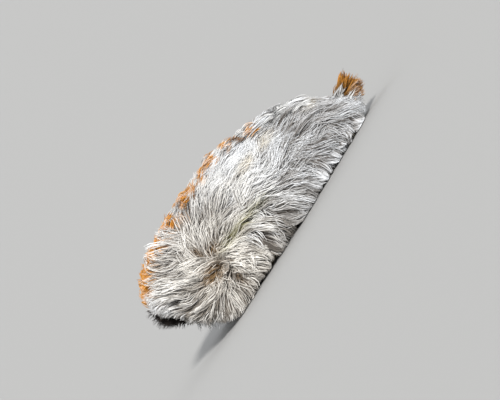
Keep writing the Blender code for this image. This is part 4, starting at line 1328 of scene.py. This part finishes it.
class LARVA_OT_face_fringe(bpy.types.Operator):
    """Make the short velvety fringe that hides the head"""

    bl_idname = "larva.face_fringe"
    bl_label = "Face fringe"

    def execute(self, context):
        look = context.scene.larva_coat
        draw = np.random.default_rng(47)
        count = FACE_HAIRS
        bearing = draw.uniform(0, 2 * math.pi, count)
        reach = np.sqrt(draw.random(count))
        y = 2.1 * reach * np.cos(bearing)
        z = 5.5 + 2.2 * reach * np.sin(bearing)
        root = np.stack((np.full(count, 2.6) + 0.9 * reach**2, 0.62 * y, 5.4 + 0.6 * (z - 5.4)), axis=1)
        front = 0.28 + 0.9 * (np.abs(y) / 2.1) ** 2 + 1.2 * ramp(z, 5.6, -1.9) + 0.25 * ramp(z, 6, 1.5)
        front += 0.5 * ramp(z, 4.2, -1.2)
        front = front + draw.exponential(0.3, count) - 0.5 * (draw.random(count) < 0.12)
        tip = np.stack((front, y + draw.normal(0, 0.1, count), z), axis=1)
        tip[:, 2] += draw.normal(0, 0.15, count)
        root[:, 0] -= MIDDLE
        tip[:, 0] -= MIDDLE
        points = straight(root, tip)
        sag = draw.normal(0, 0.16, (count, 1, 3)) * np.sin(math.pi * SHARES)[None, :, None]
        wave = draw.uniform(0, 2 * math.pi, count)[:, None] + 6 * SHARES[None, :]
        points = points + sag
        points[..., 2] += 0.05 * np.sin(wave) * SHARES[None, :]
        tone = draw.random(count)[:, None, None] ** 2
        warm = np.array((0.03, 0.018, 0.010))
        tint = np.array(look.fringe) + (warm - np.array(look.fringe)) * tone * SHARES[None, :, None]
        width = hair_widths(0.6, 1.0, count, draw)
        place = np.stack((0.5 + y / 5.0, 0.5 + (z - 5.5) / 4.5), axis=1)
        material = hair_finish("fringe_hair", 0.2, 0.3)
        hairs = (points, tint, width, np.clip(place, 0.01, 0.99))
        hair_piece("face_fringe_coat", hairs, material, ("face_fringe",))
        return {"FINISHED"}


class LARVA_OT_throat(bpy.types.Operator):
    """Make the short hair of the throat, over the head"""

    bl_idname = "larva.throat"
    bl_label = "Throat"

    def execute(self, context):
        look = context.scene.larva_coat
        draw = np.random.default_rng(53)
        count = THROAT_HAIRS
        side = draw.choice((-1, 1), count)
        station = draw.uniform(3.35, 5.6, count)
        drop = draw.uniform(11.6, 15.7, count)
        root = spot(station, drop, core_depth(station, turn_of(drop)), side)
        way = draw.normal((-0.6, 0.0, -0.55), (0.15, 0.12, 0.12), (count, 3))
        way[:, 1] += 0.16 * root[:, 1]
        way = way * draw.uniform(1.1, 1.8, (count, 1))
        points = root[:, None, :] + way[:, None, :] * SHARES[None, :, None]
        points[..., 2] -= 0.3 * SHARES[None, :] ** 2
        points = points + 0.05 * np.sin(draw.uniform(0, 6.3, (count, 1, 3)) + 5 * SHARES[None, :, None])
        points[..., 2] = np.maximum(points[..., 2], FLOOR_CLEAR)
        shade = np.interp(SHARES, (0, 0.4, 1), (0.35, 0.8, 1))
        tint = np.array(look.silver) * draw.uniform(0.25, 0.85, (count, 1, 1)) * shade[None, :, None]
        width = hair_widths(0.75, 1.2, count, draw)
        place = np.stack((station / 6.0, drop / BELLY_DROP), axis=1)
        material = hair_finish("throat_hair", 0.3, 0.35)
        hair_piece("throat_hair", (points, tint, width, place), material)
        return {"FINISHED"}


# Wisps of the tail tuft, silver ones over and under its root, and hairs in each
TUFT_WISPS = 150
TUFT_OVER = 26
TUFT_UNDER = 18
TUFT_MEMBERS = 11
# Ends of the tuft, from the lowest wisp to the highest: share, station, height
TUFT_ENDS = np.array((
    (0.0, 31.0, 1.25),
    (0.25, 31.9, 1.8),
    (0.5, 32.25, 2.9),
    (0.85, 31.9, 4.45),
    (1.0, 31.4, 4.8),
))


class LARVA_OT_tail_tuft(bpy.types.Operator):
    """Make the blunt rust tuft on the tail"""

    bl_idname = "larva.tail_tuft"
    bl_label = "Tail tuft"

    def execute(self, context):
        look = context.scene.larva_coat
        draw = np.random.default_rng(59)
        count = TUFT_WISPS
        fan = np.sort(draw.random(count))
        out = draw.normal(0, 0.52, count)
        end_x = np.interp(fan, TUFT_ENDS[:, 0], TUFT_ENDS[:, 1])
        end_z = np.interp(fan, TUFT_ENDS[:, 0], TUFT_ENDS[:, 2])
        stay = draw.uniform(0.8, 1.03, count) * (1 - 0.1 * np.abs(out))
        root = np.stack((27.9 + draw.uniform(0, 0.9, count), 0.3 * out, 2.35 + 0.8 * fan), axis=1)
        tip = np.stack((end_x, out, end_z), axis=1)
        tip = root + (tip - root) * stay[:, None]
        root[:, 0] -= MIDDLE
        tip[:, 0] -= MIDDLE
        paths = straight(root, tip)
        bow = draw.uniform(0.0, 0.3, count) * np.where(fan > 0.5, -1, 1)
        paths[..., 2] += bow[:, None] * np.sin(math.pi * SHARES)[None, :]
        hook = ramp(SHARES, 0.7, 0.3)[None, :] * draw.uniform(0.1, 1.0, count)[:, None]
        paths[..., 2] -= 0.42 * hook * np.where(fan > 0.35, 1, -0.6)[:, None]
        paths[..., 0] -= 0.3 * hook**2
        wave = draw.uniform(0, 2 * math.pi, (count, 1, 3)) + 6 * SHARES[None, :, None]
        paths = paths + 0.09 * np.sin(wave) * SHARES[None, :, None]
        cream = draw.random(count) < 0.1 + 0.45 * ramp(fan, 0.5, -0.4)
        deep = draw.random(count) < 0.3
        ends = np.where(deep[:, None], np.array(look.rust_deep), np.array(look.rust))
        ends = np.where(cream[:, None], np.array(look.blush), ends)
        shade = np.interp(SHARES, (0, 0.4, 0.8, 1), (0.08, 0.28, 0.62, 0.82))
        hairs = wisp_hairs(paths, 0.09, TUFT_MEMBERS, ends[:, None, :] * shade[None, :, None], draw)
        over = draw.uniform((27.4, -0.6, 2.4), (28.4, 0.6, 3.5), (TUFT_OVER, 3))
        over_tip = over * (1, 1.5, 1) + draw.uniform((1.7, 0, -0.4), (2.7, 0, 0.5), (TUFT_OVER, 3))
        under = draw.uniform((27.2, -0.5, 1.1), (28.0, 0.5, 1.9), (TUFT_UNDER, 3))
        under_tip = under * (1, 1.2, 0) + draw.uniform((1.0, -0.1, 0.15), (1.7, 0.1, 0.6), (TUFT_UNDER, 3))
        root = np.concatenate((over, under))
        lap = straight(root, np.concatenate((over_tip, under_tip)))
        lap[..., 0] -= MIDDLE
        lap[..., 1] += 0.35 * np.sign(root[:, 1:2]) * np.sin(math.pi * SHARES)[None, :]
        lap = lap + 0.08 * np.sin(draw.uniform(0, 6.3, (len(root), 1, 3)) + 5 * SHARES[None, :, None])
        white = np.array(look.silver) * draw.uniform(0.4, 1.0, (len(root), 1, 1))
        # painted shade: the silver laps darken towards their roots
        white = white * np.interp(SHARES, (0, 0.4, 1), (0.3, 0.8, 1))[None, :, None]
        laps = wisp_hairs(lap, 0.1, TUFT_MEMBERS, white, draw)
        hairs = [np.concatenate(pair) for pair in zip(hairs, laps)]
        material = hair_finish("rust_hair", 0.35, 0.5)
        hair_piece("tail_tuft_coat", hairs, material, ("tail_tuft",))
        return {"FINISHED"}


class LARVA_OT_head(bpy.types.Operator):
    """Make the head shell, its lip, jaws, simple eyes and feelers"""

    bl_idname = "larva.head"
    bl_label = "Head"

    def execute(self, context):
        body = context.scene.larva_body
        dark = (0.06, 0.028, 0.012)
        shell = shell_finish("head_shell", body.head_brown, dark, 1500.0, 0.22, 0.25, coat=0.3)
        dark = (0.012, 0.007, 0.004)
        horn = shell_finish("dark_horn", (0.05, 0.025, 0.012), dark, 2500.0, 0.25, 0.2)
        dark = (0.004, 0.003, 0.003)
        eye = shell_finish("eye_shine", body.eye_black, dark, 2500.0, 0.05, 0.02, coat=0.6)
        rows, count = 48, 64
        points = []
        for way in ball_ways(rows, count):
            out = Vector(way)
            cleft = math.exp(-((out.y / 0.08) ** 2)) * max(0.0, out.z + 0.1) * max(0.0, -out.x)
            forked = abs(abs(out.y) - 0.28 * (1 - out.z)) / 0.05
            suture = math.exp(-(forked**2)) * max(0.0, -out.x) * (1 if -0.5 < out.z < 0.6 else 0)
            size = 1 - 0.07 * cleft - 0.018 * suture
            points.append([HEAD_CENTRE[i] + HEAD_SIZE[i] * out[i] * size for i in range(3)])
        points += [
            (HEAD_CENTRE.x - HEAD_SIZE.x * 0.99, 0, HEAD_CENTRE.z),
            (HEAD_CENTRE.x + HEAD_SIZE.x, 0, HEAD_CENTRE.z),
        ]
        add_solid("head_shell", points, tube_faces(rows, count), shell, ("head",))
        front = HEAD_CENTRE.x - HEAD_SIZE.x
        low = HEAD_CENTRE.z - HEAD_SIZE.z
        mouth, faces = [], []
        lobes = (
            ((front + 0.26, 0, low + 0.62), (0.24, 0.46, 0.2)),
            ((front + 0.24, 0, low + 0.42), (0.26, 0.34, 0.2)),
            ((front + 0.36, 0.24, low + 0.24), (0.26, 0.22, 0.32)),
            ((front + 0.36, -0.24, low + 0.24), (0.26, 0.22, 0.32)),
            ((front + 0.62, 0, low + 0.14), (0.3, 0.3, 0.24)),
        )
        for centre, size in lobes:
            add_ball(mouth, faces, centre, size, 14, 20)
        add_solid("mouth_parts", mouth, faces, horn)
        eyes, faces = [], []
        for side in (-1, 1):
            for number in range(6):
                angle = math.radians(-70 + 34 * number)
                place = Vector((-0.72 - 0.2 * math.cos(angle), side * 0.86, 0.36 * math.sin(angle) - 0.1))
                reach = math.sqrt(sum((place[i] / HEAD_SIZE[i]) ** 2 for i in range(3)))
                centre = HEAD_CENTRE + place / reach * 0.985
                add_ball(eyes, faces, centre, (0.085, 0.085, 0.085), 10, 14)
        add_solid("simple_eyes", eyes, faces, eye)
        for side, word in ((-1, "left"), (1, "right")):
            base = HEAD_CENTRE + Vector((-0.35, side * 0.5, -0.38))
            tip = base + Vector((-1.12, side * 0.56, -0.24))
            path = smooth_path([base.lerp(tip, share) for share in (0, 0.3, 0.45, 0.75, 1.0)], 33)
            points = limb_rings(path, read_table(FEELER_RADII, np.linspace(0, 1, 33)), 20)
            node = f"antenna_{word}"
            add_solid(f"feeler_{word}", points, tube_faces(33, 20), shell, (node,))
        return {"FINISHED"}


def ball_ways(rows, count):
    """Ways from the middle of a ball to the points of its rings, from front to back."""
    for row in range(1, rows + 1):
        lean = math.pi * row / (rows + 1)
        for step in range(count):
            angle = 2 * math.pi * step / count
            yield -math.cos(lean), math.sin(lean) * math.sin(angle), math.sin(lean) * math.cos(angle)


def add_ball(points, faces, centre, size, rows, count):
    """Add one closed ball, drawn out to its three half sizes, to a list of points."""
    first = len(points)
    for way in ball_ways(rows, count):
        points.append(tuple(centre[i] + size[i] * way[i] for i in range(3)))
    points.append((centre[0] - size[0], centre[1], centre[2]))
    points.append((centre[0] + size[0], centre[1], centre[2]))
    faces += tube_faces(rows, count, first)


class LARVA_OT_legs(bpy.types.Operator):
    """Make the three pairs of jointed legs, each with its claw"""

    bl_idname = "larva.legs"
    bl_label = "Legs"

    def execute(self, context):
        body = context.scene.larva_body
        shell = shell_finish("leg_shell", body.leg_brown, (0.10, 0.05, 0.02), 1600.0, 0.28, 0.3, coat=0.2)
        for side, word in ((-1, "left"), (1, "right")):
            for number, station in enumerate(LEG_STATIONS, 1):
                x, y = station - MIDDLE, side * LEG_SPREAD
                path = smooth_path((
                    (x - 0.42, y * 1.0, 0.02),
                    (x - 0.38, y * 1.12, 0.28),
                    (x - 0.16, y * 1.2, 0.75),
                    (x + 0.02, y * 1.08, 1.4),
                    (x + 0.08, y * 0.9, 2.1),
                    (x + 0.1, y * 0.8, 2.9),
                ), 41)
                points = limb_rings(path, read_table(LEG_RADII, np.linspace(0, 1, 41)), 24)
                for point in points:
                    point[2] = max(point[2], 0.0)
                node = f"leg_{word}_{number}"
                add_solid(f"jointed_{node}", points, tube_faces(41, 24), shell, (node,))
        return {"FINISHED"}


class LARVA_OT_prolegs(bpy.types.Operator):
    """Make the seven pairs of soft prolegs and the hooks on their soles"""

    bl_idname = "larva.prolegs"
    bl_label = "Prolegs"

    def execute(self, context):
        body = context.scene.larva_body
        soft = shell_finish("proleg_skin", body.skin_pale, (0.30, 0.22, 0.10), 900.0, 0.45, 0.5)
        horn = shell_finish("hook_horn", (0.16, 0.07, 0.025), (0.05, 0.02, 0.01), 2500.0, 0.25, 0.2)
        hooks, hook_faces = [], []
        for side, word in ((-1, "left"), (1, "right")):
            for number, station in enumerate(PROLEG_STATIONS, 1):
                last = number == len(PROLEG_STATIONS)
                x, y = station - MIDDLE, side * PROLEG_SPREAD * (0.7 if last else 1)
                levels = PROLEG_SIZES[:, 0]
                heights = np.interp(np.linspace(0, 1, 49), np.linspace(0, 1, len(levels)), levels)
                radii = np.interp(heights, levels, PROLEG_SIZES[:, 1] * PROLEG_RADIUS)
                path = [(x, y * (1 - 0.04 * h), h) for h in heights]
                points = []
                for centre, radius in zip(path, radii):
                    for step in range(32):
                        angle = 2 * math.pi * step / 32
                        inner = math.exp(-((math.cos(angle) * side + 1) / 0.25) ** 2)
                        notch = 1 - 0.1 * inner * (centre[2] < 0.5)
                        points.append([
                            centre[0] + radius * notch * math.sin(angle),
                            centre[1] + radius * notch * math.cos(angle),
                            centre[2],
                        ])
                points += [path[0], path[-1]]
                node = f"proleg_{word}_{number}"
                add_solid(f"soft_{node}", points, tube_faces(49, 32), soft, (node,))
                for step in range(9):
                    angle = math.radians(-64 + 16 * step)
                    away = np.array((math.sin(angle), -side * math.cos(angle), 0.0))
                    foot = np.array((x, y, 0.12)) + away * PROLEG_RADIUS * 0.9
                    arc = np.linspace(0, 1, 7)
                    curl = away * 0.11
                    bend = [foot + curl * math.sin(math.pi * a) + np.array((0, 0, -0.11 * a)) for a in arc]
                    first = len(hooks)
                    hooks += limb_rings(bend, np.interp(arc, (0, 1), (0.035, 0.008)), 6)
                    hook_faces += tube_faces(7, 6, first)
        for point in hooks:
            point[2] = max(point[2], 0.0)
        add_solid("proleg_hooks", hooks, hook_faces, horn)
        return {"FINISHED"}


class LARVA_OT_stage(bpy.types.Operator):
    """Make the floor, the soft lights and the camera"""

    bl_idname = "larva.stage"
    bl_label = "Stage"

    def execute(self, context):
        stage = context.scene.larva_stage
        scene = context.scene
        bpy.ops.mesh.primitive_circle_add(vertices=96, radius=6.0, fill_type="NGON")
        floor = context.object
        floor.name = "pale_floor"
        material, _, shader = start_finish("pale_floor")
        shader.inputs["Base Color"].default_value = (*stage.floor_colour, 1)
        shader.inputs["Roughness"].default_value = 0.9
        floor.data.materials.append(material)
        world = bpy.data.worlds.new("studio")
        world.use_nodes = True
        sky = world.node_tree.nodes["Background"]
        sky.inputs["Color"].default_value = (0.95, 0.97, 1.0, 1)
        sky.inputs["Strength"].default_value = stage.sky_strength
        scene.world = world
        for name, strength, spread, turn, colour in (
            ("key", stage.key_strength, 12, (53, 0, 10), (1.0, 0.985, 0.96)),
            ("fill", stage.fill_strength, 50, (-38, 0, 35), (0.95, 0.97, 1.0)),
        ):
            data = bpy.data.lights.new(name, "SUN")
            data.energy = strength
            data.angle = math.radians(spread)
            data.color = colour
            lamp = add_object(name, data)
            lamp.rotation_euler = Euler([math.radians(value) for value in turn])
        data = bpy.data.cameras.new("photo_view")
        camera = add_object("photo_view", data)
        scene.camera = camera
        data.sensor_width = 36.0
        data.lens = 36.0 * stage.distance / stage.field
        data.clip_start = 0.01
        data.clip_end = 50.0
        rise, roll = stage.camera_height, stage.camera_roll
        across = Vector((1, 0, 0))
        upward = Vector((0, math.sin(rise), math.cos(rise)))
        behind = Vector((0, -math.cos(rise), math.sin(rise)))
        right = across * math.cos(roll) - upward * math.sin(roll)
        top = across * math.sin(roll) + upward * math.cos(roll)
        aim = Vector((-0.32, 0, 5.14)) * MM
        turn = Matrix((right, top, behind)).transposed().to_4x4()
        camera.matrix_world = Matrix.Translation(aim + behind * stage.distance) @ turn
        scene.view_settings.view_transform = "Standard"
        return {"FINISHED"}


class LARVA_PT_panel(bpy.types.Panel):
    bl_label = "Flannel moth larva"
    bl_idname = "LARVA_PT_panel"
    bl_space_type = "VIEW_3D"
    bl_region_type = "UI"
    bl_category = "Larva"

    def draw(self, context):
        for operator in OPERATORS:
            self.layout.operator(operator.bl_idname)
        for holder in (context.scene.larva_coat, context.scene.larva_body, context.scene.larva_stage):
            box = self.layout.box()
            for key in holder.__annotations__:
                box.prop(holder, key)


OPERATORS = (
    LARVA_OT_skin,
    LARVA_OT_flank_coat,
    LARVA_OT_crest,
    LARVA_OT_face_fringe,
    LARVA_OT_throat,
    LARVA_OT_tail_tuft,
    LARVA_OT_head,
    LARVA_OT_legs,
    LARVA_OT_prolegs,
    LARVA_OT_stage,
)
SETTINGS = (
    ("larva_coat", LarvaCoatSettings),
    ("larva_body", LarvaBodySettings),
    ("larva_stage", LarvaStageSettings),
)


def register():
    for key, holder in SETTINGS:
        bpy.utils.register_class(holder)
        setattr(bpy.types.Scene, key, bpy.props.PointerProperty(type=holder))
    for kind in (*OPERATORS, LARVA_PT_panel):
        bpy.utils.register_class(kind)


def unregister():
    for kind in reversed((*OPERATORS, LARVA_PT_panel)):
        bpy.utils.unregister_class(kind)
    for key, holder in reversed(SETTINGS):
        delattr(bpy.types.Scene, key)
        bpy.utils.unregister_class(holder)


def main():
    register()
    bpy.ops.larva.skin()
    bpy.ops.larva.flank_coat()
    bpy.ops.larva.crest()
    bpy.ops.larva.face_fringe()
    bpy.ops.larva.throat()
    bpy.ops.larva.tail_tuft()
    bpy.ops.larva.head()
    bpy.ops.larva.legs()
    bpy.ops.larva.prolegs()
    bpy.ops.larva.stage()


if __name__ == "__main__":
    main()
